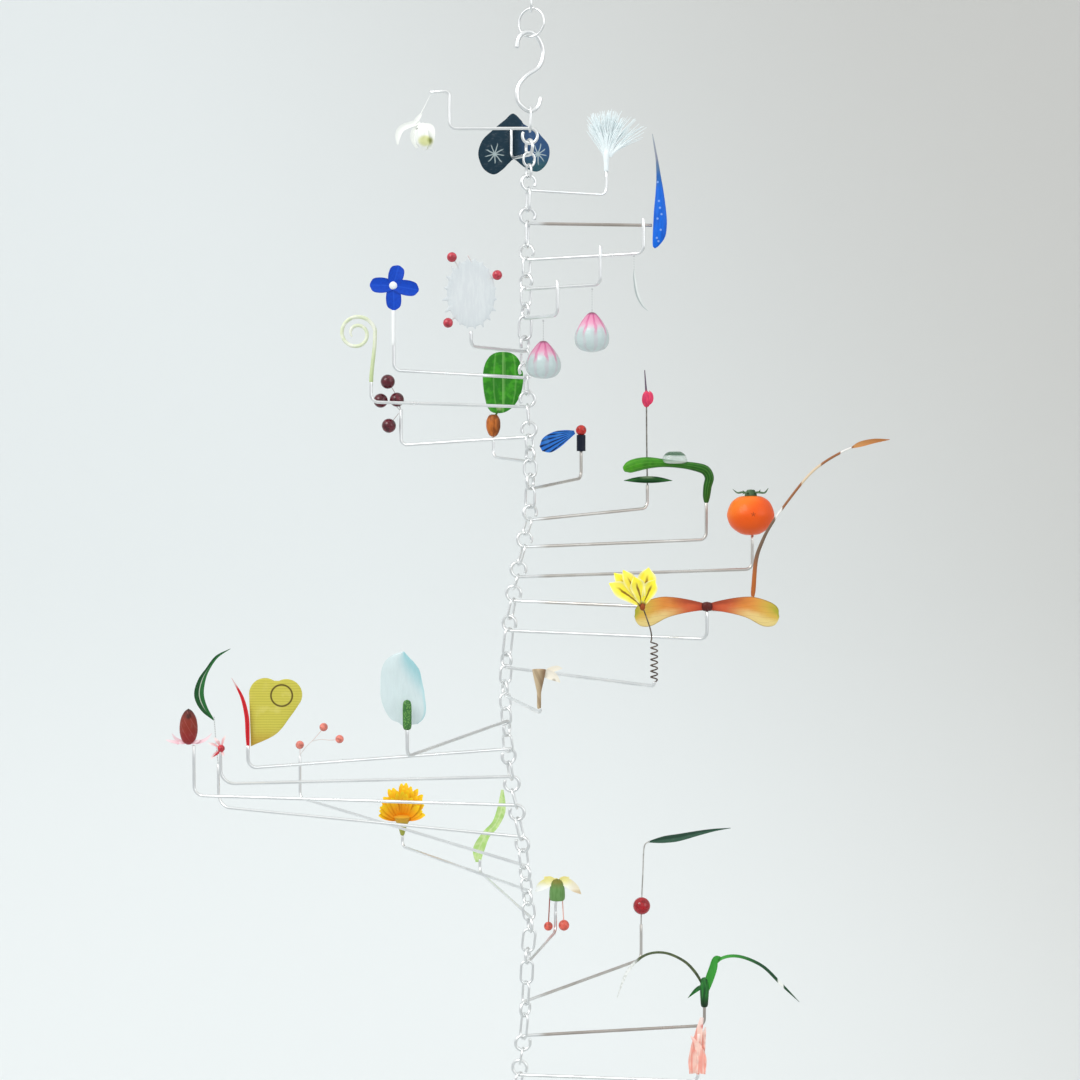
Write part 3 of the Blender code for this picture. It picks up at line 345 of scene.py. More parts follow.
class Value:
    """A socket of a material's node. Arithmetic on it adds a Math node."""

    def __init__(self, finish, socket):
        self.finish, self.socket = finish, socket

    def math(self, operation, *values):
        return self.finish.node("ShaderNodeMath", {"operation": operation}, values)

    def __add__(self, other):
        return self.math("ADD", self, other)

    def __sub__(self, other):
        return self.math("SUBTRACT", self, other)

    def __rsub__(self, other):
        return self.math("SUBTRACT", other, self)

    def __mul__(self, other):
        return self.math("MULTIPLY", self, other)

    def __truediv__(self, other):
        return self.math("DIVIDE", self, other)

    def __pow__(self, power):
        return self.math("POWER", self, power)

    __radd__ = __add__
    __rmul__ = __mul__

    def size(self):
        return self.math("ABSOLUTE", self)

    def sine(self):
        return self.math("SINE", self)

    def most(self, other):
        return self.math("MAXIMUM", self, other)

    def least(self, other):
        return self.math("MINIMUM", self, other)

    def fade(self, low, high):
        """0 below low and 1 above high, or the other way round, with a smooth step between."""
        settings = {"interpolation_type": "SMOOTHSTEP"}
        return self.finish.node("ShaderNodeMapRange", settings, (self, low, high, 0.0, 1.0))


class Finish:
    """A material being made, and the record's slot that it belongs to."""

    def __init__(self, name, slot, place=(0, 0, 0)):
        self.material = bpy.data.materials.new(name)
        self.material.use_nodes = True
        self.slot = slot
        self.tree = self.material.node_tree
        self.shader = self.tree.nodes["Principled BSDF"]
        where = self.node("ShaderNodeTexCoord", output="Object")
        shift = tuple(-float(c) for c in place)
        self.spot = self.node("ShaderNodeVectorMath", {"operation": "MULTIPLY_ADD"}, (where, (1000,) * 3, shift))
        self.x, self.y, self.z = self.parts(self.spot)
        form = self.node("ShaderNodeAttribute", {"attribute_name": "form"}, output="Vector")
        self.along, self.across, self.number = self.parts(form)

    def node(self, kind, settings=None, inputs=(), output=0):
        """Adds a node: its settings, then the values or links of its sockets. Returns one output."""
        made = self.tree.nodes.new(kind)
        for key, value in (settings or {}).items():
            setattr(made, key, value)
        for key, value in inputs.items() if isinstance(inputs, dict) else enumerate(inputs):
            self.join(value, made.inputs[key])
        return Value(self, made.outputs[output])

    def join(self, value, socket):
        if isinstance(value, Value):
            self.tree.links.new(value.socket, socket)
        elif value is not None:
            socket.default_value = value

    def parts(self, vector):
        made = self.node("ShaderNodeSeparateXYZ", None, (vector,))
        return [Value(self, output) for output in made.socket.node.outputs]

    def mix(self, share, first, second, blend="MIX"):
        """From the first colour to the second, by share."""
        settings = {"data_type": "RGBA", "blend_type": blend, "clamp_factor": True}
        first, second = (tint(c) if isinstance(c, str) else c for c in (first, second))
        return self.node("ShaderNodeMix", settings, {0: share, 6: first, 7: second}, 2)

    def ramp(self, share, *stops):
        """A colour for each place along share: stops are (place, hex colour)."""
        made = self.node("ShaderNodeValToRGB", None, (share,))
        ramp = made.socket.node.color_ramp
        ramp.interpolation = "EASE"
        for number, (at, code) in enumerate(stops):
            stop = ramp.elements[number] if number < 2 else ramp.elements.new(at)
            stop.position, stop.color = at, tint(code) if isinstance(code, str) else code
        return made

    def stretched(self, scale, vector=None):
        return self.node("ShaderNodeVectorMath", {"operation": "MULTIPLY"}, (vector or self.spot, scale))

    def noise(self, scale, detail=3.0, stretch=None, distortion=0.0):
        """Cloudy noise, scale to the millimetre, drawn out by stretch."""
        vector = self.stretched(stretch) if stretch else self.spot
        return self.node("ShaderNodeTexNoise", None, {
            "Vector": vector, "Scale": scale, "Detail": detail, "Distortion": distortion,
        })

    def close(self, x, z, radius, soft=0.6):
        """1 inside a round spot at (x, z) on the face of a piece, 0 outside."""
        away = ((self.x - x) ** 2 + (self.z - z) ** 2) ** 0.5
        return away.fade(radius + soft, radius - soft)

    def done(self, base, rough=0.6, relief=None, depth=0.05, alpha=None, **fixed):
        """Links the colour, roughness, relief in millimetres and alpha, and sets what is the same all over."""
        self.join(base, self.shader.inputs["Base Color"])
        self.join(rough, self.shader.inputs["Roughness"])
        self.join(alpha, self.shader.inputs["Alpha"])
        for key, value in fixed.items():
            self.shader.inputs[key.replace("_", " ")].default_value = value
        if relief:
            bump = self.node("ShaderNodeBump", None, {"Strength": 1.0, "Distance": depth * MM, "Height": relief})
            self.join(bump, self.shader.inputs["Normal"])
        return self

    def paper(self, base, rough=0.62, fibre=(1, 1, 1), mottle=0.18, depth=0.06, alpha=None, **fixed):
        """Painted paper: the colour goes lighter and darker in soft clouds and in fine fibres drawn out by
        fibre, and both stand in relief with a fine tooth."""
        cloud = self.noise(0.32, 3)
        lines = self.noise(1.6, 4, fibre)
        tooth = self.noise(6.0, 2)
        shade = (cloud * 0.5 + lines * 0.5 - 0.5) * (4 * mottle) + 0.5
        base = tint(base) if isinstance(base, str) else base
        dark = self.mix(0.75, base, "181410", "MULTIPLY")
        light = self.mix(0.35, base, "ffffff", "SCREEN")
        full = self.mix(shade.fade(0.5, 1.1), self.mix(shade.fade(0.5, -0.1), base, dark), light)
        relief = lines * 0.6 + tooth * 0.4
        return self.done(full, lines * 0.2 + (rough - 0.1), relief, depth, alpha, Specular_IOR_Level=0.2, **fixed)

    def gloss(self, base, rough=0.16, depth=0.03):
        """A varnished bead: faint clouds in the colour, and a skin with a slight ripple."""
        cloud = self.noise(0.5, 3)
        fine = self.noise(2.5, 2)
        base = tint(base) if isinstance(base, str) else base
        full = self.mix(cloud.fade(0.35, 0.75), base, self.mix(0.55, base, "201010", "MULTIPLY"))
        skin_rough = fine * 0.12 + (rough - 0.04)
        return self.done(full, skin_rough, cloud + fine * 0.4, depth, Coat_Weight=0.45, Specular_IOR_Level=0.3)


def wire_finish(name, far_tone_with_shade="f6f7f7", far_worn_tone_with_shade="e2e4e5"):
    """Drawn steel: faint streaks along the wire, and patches where it has gone dull. Near the chain every arm is
    bright, and to the right of it an arm takes its own two tones, which on the greyer and brownish copies are painted
    shade and reflection."""
    f = Finish(name, "steel_wire")
    streak = f.noise(0.9, 4, (1, 1, 0.35))
    patch = f.noise(0.05, 3)
    dull = patch.fade(0.4, 0.65) * 0.6 + streak * 0.4
    # Right of the chain the two tones passed in are used; on the darker copies they are painted shade and reflection.
    away = f.x.fade(2.0, 9.0)
    base = f.mix(dull, f.mix(away, "f6f7f7", far_tone_with_shade), f.mix(away, "e2e4e5", far_worn_tone_with_shade))
    return f.done(base, dull * 0.15 + 0.25, streak, 0.02, Metallic=1.0)


def settings():
    return bpy.context.scene.paper_mobile


def paint(name):
    """One of the paint colours, as red, green, blue and an alpha of 1."""
    return (*getattr(settings().colours, name), 1.0)


def size(name):
    """One of the wire sizes, in millimetres."""
    return getattr(settings().sizes, name) / MM


# The chain and the arms


def sway_at(drop):
    """How far the chain hangs to one side at this depth."""
    return float(np.interp(drop, *zip(*SWAY)))


def eye_height(arm):
    return -arm.drop + arm.eye * size("eye_radius")


def tip_of(number):
    """The top of the upright of an arm, counted from 1."""
    arm = ARMS[number - 1]
    return np.array([sway_at(arm.drop), 0, -arm.drop]) + arm.reach * heading(arm.turn) + (0, 0, arm.rise + arm.upright)


def link_skin(top, bottom, turn, wire=None):
    """A link between two heights: half a circle, a side, half a circle and a side, in a plane turned
    about the upright."""
    top, bottom = np.asarray(top, float), np.asarray(bottom, float)
    up = unit(top - bottom)
    side = heading(turn)
    side = unit(side - up * (side @ up))
    radius = size("link_width") / 2
    ends = [middle - slide * up * radius for middle, slide in ((top, 1), (bottom, -1))]
    path = np.concatenate([
        arc(ends[0], radius, 0, 180, 17, side, up), arc(ends[1], radius, 180, 360, 17, side, up),
    ])
    spare = np.linspace(path[16], path[17], 6)[1:-1]
    path = np.concatenate([path[:17], spare, path[17:], np.linspace(path[-1], path[0], 6)[1:-1]])
    return tube(path, (wire or size("link_wire")) / 2, np.cross(side, up), 10, loop=True)


def links_between(upper, lower):
    """The one or two links that hang in one arm's eye and hold the next, each turned on from the last."""
    eye, link = 0.709, 0.554
    start = eye_height(upper) - size("eye_radius") + eye + link - 0.12
    finish = eye_height(lower) + size("eye_radius") - eye - link - 0.3
    if start - finish < 3 + 2 * link:
        return []
    spin = (lower.turn - upper.turn + 180) % 360 - 180
    count = 1 if start - finish < 15 and abs(spin) < 60 else 2
    whole = spin + 180 * round((90 * (count + 1) - spin) / 180)
    overlap = 2 * link - 0.12
    long = (start - finish + (count - 1) * overlap) / count
    left, right = sway_at(upper.drop), sway_at(lower.drop)
    skins = []
    for number in range(count):
        high = start - number * (long - overlap)
        first, last = (left + (right - left) * n / count for n in (number, number + 1))
        turn = upper.turn + whole * (number + 1) / (count + 1)
        skins.append(link_skin((first, 0, high), (last, 0, high - long), turn))
    return skins


def arm_skin(arm, wire):
    """An arm's wire: most of a circle for its eye, a straight run out, a bend and an upright, all in the
    upright plane that it points along."""
    out, up = heading(arm.turn), np.array([0, 0, 1.0])
    root = np.array([sway_at(arm.drop), 0, -arm.drop])
    radius = size("eye_radius")
    slope = math.degrees(math.atan2(arm.rise, arm.reach))
    path = arc(root + arm.eye * radius * up, radius, -29, 270 + arm.eye * slope, 34, out, arm.eye * up)
    knee = root + arm.reach * out + arm.rise * up
    run = unit(knee - path[-1])
    bend = min(WIDE_BENDS.get(ARMS.index(arm) + 1, size("bend_radius")), arm.upright)
    path = np.concatenate([path, np.linspace(path[-1], knee - bend * run, 7)[1:]])
    if arm.upright:
        path = np.concatenate([path[:-1], corner(knee - bend * run, knee, knee + bend * up)])
        if arm.upright > bend:
            path = np.concatenate([path, np.linspace(path[-1], knee + arm.upright * up, 4)[1:]])
    if arm.name == ARMS[0].name:
        top = knee + arm.upright * up
        path = np.concatenate([path[:-1], corner(top - 1.2 * up, top + 0.9 * up, top + 2.2 * out + 0.9 * up, 6)])
        path = np.concatenate([path, [top + 9.4 * out + 0.4 * up]])
    return tube(path, wire / 2, np.cross(out, up), 12)


class MOBILE_OT_hardware(bpy.types.Operator):
    """The top link, the ring, the S-hook and the chain's first link."""
    bl_idname = "mobile.hardware"
    bl_label = "Hook and ring"

    def execute(self, context):
        steel = wire_finish("bright_wire")
        ring, hook = size("ring_radius"), size("hook_wire") / 2
        bottom = -15.4 + ring - 0.532 - 0.554 - 0.3
        piece("hanging_link_wire", "hanging_link", steel, [link_skin((0, 0, 0.46), (0, 0, bottom), 90)])
        path = arc((0, 0, -15.4), ring, 0, 360, 73, heading(-27))[:-1]
        split = tube(path, size("ring_wire") / 2, np.cross(heading(-27), (0, 0, 1)), 10, loop=True)
        piece("split_ring_wire", "split_ring", steel, [split])
        out = heading(14)
        marks = np.array([
            (-7.4, -28.0), (-7.0, -24.6), (-5.0, -21.5), (-0.9, -20.1), (3.3, -22.8), (5.6, -27.5), (5.7, -32.0),
            (3.6, -37.2), (-2.3, -41.5), (-6.3, -46.2), (-7.4, -50.7), (-6.3, -55.5), (-1.0, -58.9), (3.2, -56.8), (4.8, -52.2),
        ])
        path = smooth(marks[:, :1] * out + marks[:, 1:] * (0, 0, 1), 110)
        piece("s_hook_wire", "s_hook", steel, [tube(path, hook, np.cross(out, (0, 0, 1)), 16)])
        first = ARMS[0]
        top = (-0.5, 0, -52.7 - 6.2 + 1.21 + 0.554 + 0.3)
        low = (sway_at(first.drop), 0, eye_height(first) + size("eye_radius") - 0.709 - 0.554 - 0.3)
        piece("top_link_wire", "top_link", steel, [link_skin(top, low, 95)])
        return {"FINISHED"}


class MOBILE_OT_arms(bpy.types.Operator):
    """The wire arms with their eyes, and the links between them."""
    bl_idname = "mobile.arms"
    bl_label = "Arms and chain"

    def execute(self, context):
        bright = wire_finish("arm_wire")
        # The dull and brown finishes are darker copies of the same steel: painted shade and reflection on those arms,
        # not a different wire.
        dull = wire_finish("shaded_grey_arm_wire", "dad7d3", "c2bcb6")
        brown = wire_finish("shaded_brown_arm_wire", "c4bcb6", "a39a92")
        for number, (arm, lower) in enumerate(zip(ARMS, [*ARMS[1:], None]), 1):
            wire = size("arm_wire") - (0.2 if lower is None else 0)
            finish = dull if number in SHADED_GREY_ARMS else brown if number in SHADED_BROWN_ARMS else bright
            piece(f"{arm.name}_wire", arm.name, finish, [arm_skin(arm, wire)])
            links = links_between(arm, lower) if lower else []
            if links:
                piece(f"links_{number:02d}", arm.name, bright, links)
        return {"FINISHED"}


class MOBILE_OT_snowdrop(bpy.types.Operator):
    """A nodding white flower of curled petals on a thread."""
    bl_idname = "mobile.snowdrop"
    bl_label = "Snowdrop"

    def execute(self, context):
        tip = tip_of(1)
        f = Finish("snowdrop_petal", "white_petal", tip)
        veins = (f.across * 9.0).sine().size().fade(0.25, 0.0) * 0.3
        patch = (((f.x + 11.8) / 4.0) ** 2 + ((f.z + 24.0) / 3.0) ** 2).fade(1.2, 0.2)
        base = f.mix(patch * 0.8, f.mix(veins, paint("white"), "d9ddd2"), "d3d685")
        base = f.mix(f.close(-9.4, -23.7, 1.1, 1.1) * 0.85, base, "8b9440")
        base = f.mix(f.close(-16.0, -17.9, 0.5, 0.3) * 0.8, base, "5c6150")
        f.paper(base, 0.5, (1, 1, 0.25), 0.05)
        skins = [
            turned([(0, -14.4), (1.8, -15.4), (3.8, -18), (4.4, -21), (3.4, -25), (0.6, -27)], (-13.2, 0.4, 0), 24),
            leaf([(-13.7, 0.1, -9.8), (-15.4, 0.1, -12.2), (-17.6, 0.1, -14.9)], (0.4, 1.0, 0.9), 0.5, cup=0.3),
            leaf([(-14.6, 0.3, -14.6), (-17.8, 0.2, -15.0), (-23.3, 0, -17.2), (-25.4, 0, -20.5), (-25.7, 0, -25.3)],
                 (0.9, 1.4, 1.6, 1.5, 0.4), 0.5, cup=0.35, number=1),
            leaf([(-12.4, -0.6, -15.8), (-9.6, -1.9, -17.6), (-9.2, -2.3, -21.5), (-9.4, -1.6, -27.6)],
                 (0.9, 2.0, 2.2, 1.0), 0.5, cup=0.3, number=2),
            leaf([(-12.8, -1.0, -15.6), (-13.4, -3.0, -19.5), (-12.8, -3.2, -24.5), (-12.2, -1.6, -28.2)],
                 (1.1, 2.8, 3.0, 0.8), 0.5, cup=0.3, number=3),
            leaf([(-13.8, 0.4, -15.4), (-16.6, 0.8, -18.4), (-17.0, 1.0, -22.4), (-16.2, 0.8, -27.0)],
                 (1.0, 2.1, 2.4, 0.6), 0.5, cup=0.3, number=4),
            leaf([(-12.6, 1.2, -15.6), (-11.0, 2.8, -20.0), (-10.8, 2.9, -24.0), (-11.6, 1.7, -27.6)],
                 (1.0, 2.2, 2.2, 0.5), 0.5, cup=-0.3, number=5),
        ]
        piece("snowdrop_petals", "snowdrop", f, skins, tip)
        s = Finish("snowdrop_stalk", "white_petal", tip)
        s.paper(s.mix(s.along, "eef1f0", "f3f5f1"), 0.5)
        stalk = smooth([(-9.3, 0.6, -0.7), (-11.0, 0.4, -4.0), (-12.8, 0.2, -7.6), (-14.4, 0.1, -10.8)], 24)
        piece("snowdrop_stalk", "snowdrop", s, [tube(stalk, np.linspace(0.2, 0.35, 24), sides=8)], tip)
        return {"FINISHED"}


class MOBILE_OT_navy_leaf(bpy.types.Operator):
    """An upside-down heart of navy paper behind its upright."""
    bl_idname = "mobile.navy_leaf"
    bl_label = "Navy leaf"

    def execute(self, context):
        outline = closed([
            (0.8, 7.9), (-3.3, 4.6), (-6.1, 2.4), (-9.9, -0.9), (-14.4, -5.3), (-16.6, -10.8), (-16.3, -15.3),
            (-13.8, -20.3), (-8.9, -22.8), (-4.4, -20.3), (-1.1, -17.0), (1.6, -15.3), (6.6, -19.1), (12.7, -21.4),
            (17.1, -18.6), (19.3, -13.6), (18.8, -8.1), (15.4, -3.7), (12.7, -0.9), (6.6, 2.4), (4.9, 4.6),
        ])
        tip = tip_of(2)
        f = Finish("navy_paper", "navy_leaf", tip)
        side = (f.x + f.noise(0.12, 3) * 8).fade(6.0, 15.0)
        right = f.mix(f.z.fade(-12, -19), "2f4f78", "2c5560")
        base = f.mix(side, paint("navy"), right)
        for x, z in ((-8.4, -12.6), (13.5, -12.6)):
            dx, dz = f.x - x, f.z - z
            away = (dx ** 2 + dz ** 2) ** 0.5
            turn = dz.math("ARCTAN2", dz, dx) * 4.5 + f.noise(0.35, 2) * 1.2
            rays = (turn.sine().size() * away).fade(1.6, 0.5)
            reach = f.noise(0.25, 2) * 4 + 2.8
            base = f.mix(rays * (reach - away).fade(-0.6, 0.6) * 0.8, base, "b9c9ca")
        f.paper(base, 0.55, (0.4, 1, 1), 0.2, 0.1)
        piece("navy_leaf_sheet", "navy_leaf", f, [disc(outline, (1.5, -8.0), 0.8, 1.6, 0.1, (-0.002, 0.0), 16)], tip)
        return {"FINISHED"}


class MOBILE_OT_white_tassel(bpy.types.Operator):
    """A short stem that opens into a spray of fine white strands."""
    bl_idname = "mobile.white_tassel"
    bl_label = "White tassel"

    def execute(self, context):
        tip = tip_of(3)
        f = Finish("tassel_strand", "white_petal", tip)
        base = f.mix(f.z.fade(28, 8), "eff8fa", f.mix(f.noise(0.5), "e6f2f5", "fafdfd"))
        f.paper(base, 0.45, (2, 2, 0.3), 0.03, 0.03)
        rng = np.random.default_rng(7)
        count, loose = 170, 28
        lean = np.concatenate([np.linspace(-9.8, 8.4, count - loose), np.linspace(8.6, 19.8, loose)])
        lean = lean + rng.uniform(-0.9, 0.5, count)
        height = 30.5 - 0.028 * (lean - 2) ** 2 - rng.uniform(0, 9.0, count) + 1.4
        deep = rng.uniform(-3.2, 3.2, count)
        sway = rng.uniform(-1.2, 1.2, count)
        t = np.linspace(0, 1, 9)[:, None]
        skins = [turned([(0, 0.35), (1.15, 0.5), (1.3, 4), (1.5, 8.6), (0.9, 11.0), (0, 11.5)], sides=16)]
        for k in range(count):
            x = lean[k] * (0.12 + 0.88 * t ** 1.35) + sway[k] * np.sin(np.pi * t)
            path = np.concatenate([x, deep[k] * t, 7.6 + (height[k] - 7.6) * t ** 0.9], axis=1)
            skins.append(tube(path, 0.38 - 0.26 * t[:, 0] ** 2, (0.3, 1, 0), 4, number=k / count))
        piece("white_tassel_strands", "white_tassel", f, skins, tip)
        return {"FINISHED"}


class MOBILE_OT_blue_pod(bpy.types.Operator):
    """A long blue teardrop with light dots, narrowing to a hair above."""
    bl_idname = "mobile.blue_pod"
    bl_label = "Blue pod"

    def execute(self, context):
        tip = tip_of(4)
        marks = np.array([
            (1.3, -11.5, 0.05), (1.8, -10.2, 1.5), (3.3, -6.0, 3.1), (3.9, 0.0, 3.45), (3.9, 7.0, 3.1), (3.7, 16.0, 2.1),
            (3.2, 24.0, 1.2), (2.2, 33.0, 0.6), (0.8, 41.0, 0.4), (0.0, 45.6, 0.15),
        ])
        x, z, w = (a[:, None] for a in smooth(marks, 60).T)
        w = np.maximum(w, 0.05)
        turns = 2 * np.pi * np.arange(24)[None] / 24
        rings = np.stack([x + w * np.cos(turns) + 0.35, 0.55 * w * np.sin(turns), z + 0 * turns], axis=-1)
        pod = skin(rings, (z + 11.5) / 57.1, turns / np.pi - 1)
        f = Finish("blue_pod_paint", "blue_petal", tip)
        base = f.ramp(
            f.along, (0.0, paint("azure")), (1.0, "a8b0b6"), (0.5, "1668d8"), (0.62, "2b66b0"), (0.72, "5d7a9c"),
            (0.79, "8d92a0"),
        )
        streak = f.noise(0.8, 4, (1, 1, 0.15)).fade(0.45, 0.7)
        base = f.mix(streak * 0.35, base, "0a2f92")
        dots = None
        for dot in ((3.0, 21.5), (3.6, 12.0), (4.1, 8.6), (2.9, 3.2), (4.5, -2.4), (2.6, -6.4), (4.9, 5.4), (3.4, -8.0)):
            spot = f.close(*dot, 0.5, 0.25)
            dots = spot if dots is None else dots.most(spot)
        f.paper(f.mix(dots * 0.8, base, "8fb4f0"), 0.38, (1, 1, 0.3), 0.08, 0.03)
        piece("blue_pod_body", "blue_pod", f, [pod], tip)
        return {"FINISHED"}


class MOBILE_OT_thin_leaf(bpy.types.Operator):
    """A narrow pale leaf on a thread from the level wire."""
    bl_idname = "mobile.thin_leaf"
    bl_label = "Thin leaf"

    def execute(self, context):
        tip, arm = tip_of(5), ARMS[4]
        x, y = -4.4, 2.4
        f = Finish("thin_leaf_paper", "mist_leaf", tip)
        f.paper(f.mix(f.across.fade(-0.2, 0.3), "dfe3e2", "aab3b3"), 0.5, (1, 1, 0.3), 0.12)
        path = [(x, y, -24), (x + 0.3, y, -29), (x + 1.6, y, -36), (x + 4.0, y, -41), (x + 6.8, y, -44.0)]
        piece("thin_leaf_blade", arm.name, f, [leaf(path, (0.15, 0.6, 0.8, 0.6, 0.1), 0.4, cup=0.5)], tip)
        thread_piece("thin_leaf_thread", arm.name, tip, (x, y, -16.4), (x, y, -24.6))
        return {"FINISHED"}


def thread_finish(name="thread"):
    f = Finish(name, "steel_wire")
    twist = ((f.z * 5.0) + f.x * 3).sine().fade(-1, 1)
    return f.done(f.mix(twist, "dfe2e2", "b9bdbd"), 0.45, twist, 0.02)


def thread_piece(name, node, tip, top, bottom):
    """A thread that hangs from a knot just below the wire."""
    top, bottom = np.asarray(top, float), np.asarray(bottom, float)
    radius = size("thread") / 2
    skins = [tube(np.linspace(top - (0, 0, 1.1), bottom, 8), radius, (0.2, 1, 0), 6)]
    skins.append(bead(top - (0, 0, 1.0), 0.5, 1.2, 10))
    return piece(name, node, thread_finish(name), skins, tip)


class MOBILE_OT_pink_bells(bpy.types.Operator):
    """Two shell-like bells, pink above and pale and clear below, on threads."""
    bl_idname = "mobile.pink_bells"
    bl_label = "Pink bells"

    def execute(self, context):
        for number, node, back, drop, wide, high in (
            (6, "pink_bell", 5.1, 13.1, 17.0, 19.4), (7, "small_bell", 16.0, 11.8, 17.4, 18.6),
        ):
            tip, arm, half = tip_of(number), ARMS[number - 1], wide / 2
            x, y, _ = -back * heading(arm.turn)
            wire = -arm.upright - arm.rise * back / arm.reach
            top = wire - drop
            profile = [
                (0, 0), (0.16 * half, -0.01), (0.34 * half, -0.08), (0.62 * half, -0.24), (0.9 * half, -0.46),
                (0.985 * half, -0.64), (0.92 * half, -0.80), (0.66 * half, -0.93), (0.25 * half, -0.985), (0, -0.99),
            ]
            profile = [(r, top + high * h) for r, h in profile]
            f = Finish(node + "_shell", "pink_shell", tip)
            turn = (f.y - y).math("ARCTAN2", f.y - y, f.x - x)
            level = (f.z - (top - high)) / high
            ragged = level + f.noise(0.5, 3) * 0.16 - 0.08
            stripe = (turn * 9 + f.noise(0.25, 2) * 2.5).sine().fade(0.3, 0.9)
            pink = f.mix(level.fade(0.55, 0.95) * 0.6 + stripe * 0.4, "eeb3cd", paint("magenta"))
            low = f.mix(stripe * 0.25, "cfe3e2", "d9a9c2")
            base = f.mix((ragged + stripe * 0.16).fade(0.52, 0.74), low, pink)
            base = f.mix(level.fade(0.9, 1.0), base, "7a2a50")
            alpha = ragged.fade(0.4, 0.7) * 0.3 + 0.62
            f.done(base, stripe * 0.15 + 0.28, stripe + f.noise(2.0, 3) * 0.4, 0.12, alpha, Coat_Weight=0.3)
            body = turned(profile, (x, y, 0), 48, ribs=12, swell=0.02, count=40)
            piece(node + "_body", node, f, [body], tip)
            thread_piece(node + "_thread", node, tip, (x, y, wire - 1.0), (x, y, top - 0.4))
        return {"FINISHED"}


class MOBILE_OT_spiny_leaf(bpy.types.Operator):
    """A pale oval with a spiny edge, and three red berries."""
    bl_idname = "mobile.spiny_leaf"
    bl_label = "Spiny leaf"

    def execute(self, context):
        tip = tip_of(8)
        spines, per = 20, 14
        turns = 2 * np.pi * np.arange(spines * per) / (spines * per)
        weight = np.full(len(turns), 0.3)
        for angle, wide in ((180, 65), (315, 30)):
            off = (turns - math.radians(angle) + np.pi) % (2 * np.pi) - np.pi
            weight = np.maximum(weight, np.exp(-((off / math.radians(wide)) ** 2)))
        tooth = np.abs(np.sin(turns * spines / 2)) ** 12 * (0.75 + 0.25 * np.cos(turns * 5 + 1))
        reach = 0.96 + 0.28 * tooth * weight
        outline = np.stack([12.0 * reach * np.cos(turns), 18.2 + 16.5 * reach * np.sin(turns)], axis=1)
        f = Finish("spiny_leaf_paper", "mist_leaf", tip)
        veins = f.noise(0.5, 4, (1.6, 1, 0.3)).fade(0.42, 0.62)
        base = f.mix(veins * 0.5, paint("mist"), "e6ebec")
        base = f.mix(f.along.fade(0.5, 1.0) * 0.2, base, "c3ced4")
        f.paper(base, 0.42, (1.5, 1, 0.3), 0.05, 0.06, 0.88)
        piece("spiny_leaf_sheet", "spiny_leaf", f, [disc(outline, (0, 18.2), 0.7, 1.6, 0.03, rows=14)], tip)
        b = Finish("spiny_leaf_berry", "red_berry", tip).gloss("cf3f50")
        s = Finish("spiny_leaf_stalk", "mist_leaf", tip)
        s.paper(s.mix(s.along, "cdd5d5", "d9c4c2"), 0.5)
        berries, stalks = [], [tube(np.linspace((1.3, 1.5, 31.6), (-1.5, 1.5, 36.3), 6), 0.22, sides=6)]
        for x, z, near_x, near_z in ((-9.1, 35.5, -6.0, 30.0), (12.5, 27.0, 8.0, 25.0), (-11.0, 4.3, -6.0, 9.0)):
            berries.append(bead((x, 1.5, z), 2.4))
            half_way = ((x + near_x) / 2 + 0.4, 1.5, (z + near_z) / 2)
            stalks.append(tube(smooth([(near_x, 1.5, near_z), half_way, (x, 1.5, z)], 8), 0.28, sides=6))
        piece("spiny_leaf_berries", "spiny_leaf", b, berries, tip)
        piece("spiny_leaf_stalks", "spiny_leaf", s, stalks, tip)
        return {"FINISHED"}


class MOBILE_OT_blue_flower(bpy.types.Operator):
    """Four round royal-blue petals about a white button."""
    bl_idname = "mobile.blue_flower"
    bl_label = "Blue flower"

    def execute(self, context):
        tip = tip_of(9)
        f = Finish("blue_petal_paint", "blue_petal", tip)
        edge = f.across.size().fade(0.7, 1.0)
        streak = f.noise(1.0, 4, (1, 1, 1)).fade(0.4, 0.7)
        base = f.mix(edge * 0.25 + streak * 0.25, paint("royal"), "0c2a86")
        base = f.mix(f.across.size().fade(0.14, 0.0) * 0.35, base, "2c63dc")
        f.paper(base, 0.42, (1, 1, 1), 0.06, 0.05)
        middle = np.array([0.0, 0.0, 12.4])
        petals = []
        for number, (x, z) in enumerate(((12.2, -2.2), (2.65, 9.6), (-11.3, 0.3), (0.3, -11.8))):
            out = np.array([x, 0, z])
            steps = np.array([0.02, 0.3, 0.6, 0.86, 1.0])[:, None]
            path = middle + out * steps + np.array([0, 1, 0]) * (0.15 * number - 0.5 - 0.9 * steps * (1 - steps))
            petals.append(leaf(path, (2.2, 3.4, 3.7, 3.0, 0.6), 0.5, cup=0.18, number=number))
        piece("blue_flower_petals", "blue_flower", f, petals, tip)
        w = Finish("flower_button_white", "white_petal", tip).paper("eef2f6", 0.4, mottle=0.05)
        rings = turned([(0, -1.1), (1.2, -0.9), (2.0, -0.2), (1.8, 0.5), (0, 0.7)], sides=20, count=12)
        points = rings.points[:, [0, 2, 1]] + middle + (0, -0.5, 0)
        piece("blue_flower_button", "blue_flower", w, [rings._replace(points=points)], tip)
        s = Finish("flower_sleeve_white", "white_petal", tip)
        s.paper("f3f5f5", 0.4, mottle=0.04)
        sleeve = tube(np.linspace((0, 0, -16.0), (0, 0, 0.3), 8), size("arm_wire") / 2 + 0.15, sides=16)
        stalk = tube(np.linspace((0, 0.3, 0.1), (0, 0.6, 11.6), 8), 0.45, sides=8)
        piece("blue_flower_stalk", "blue_flower", s, [stalk], tip)
        piece("blue_flower_sleeve", ARMS[8].name, s, [sleeve], tip)
        return {"FINISHED"}


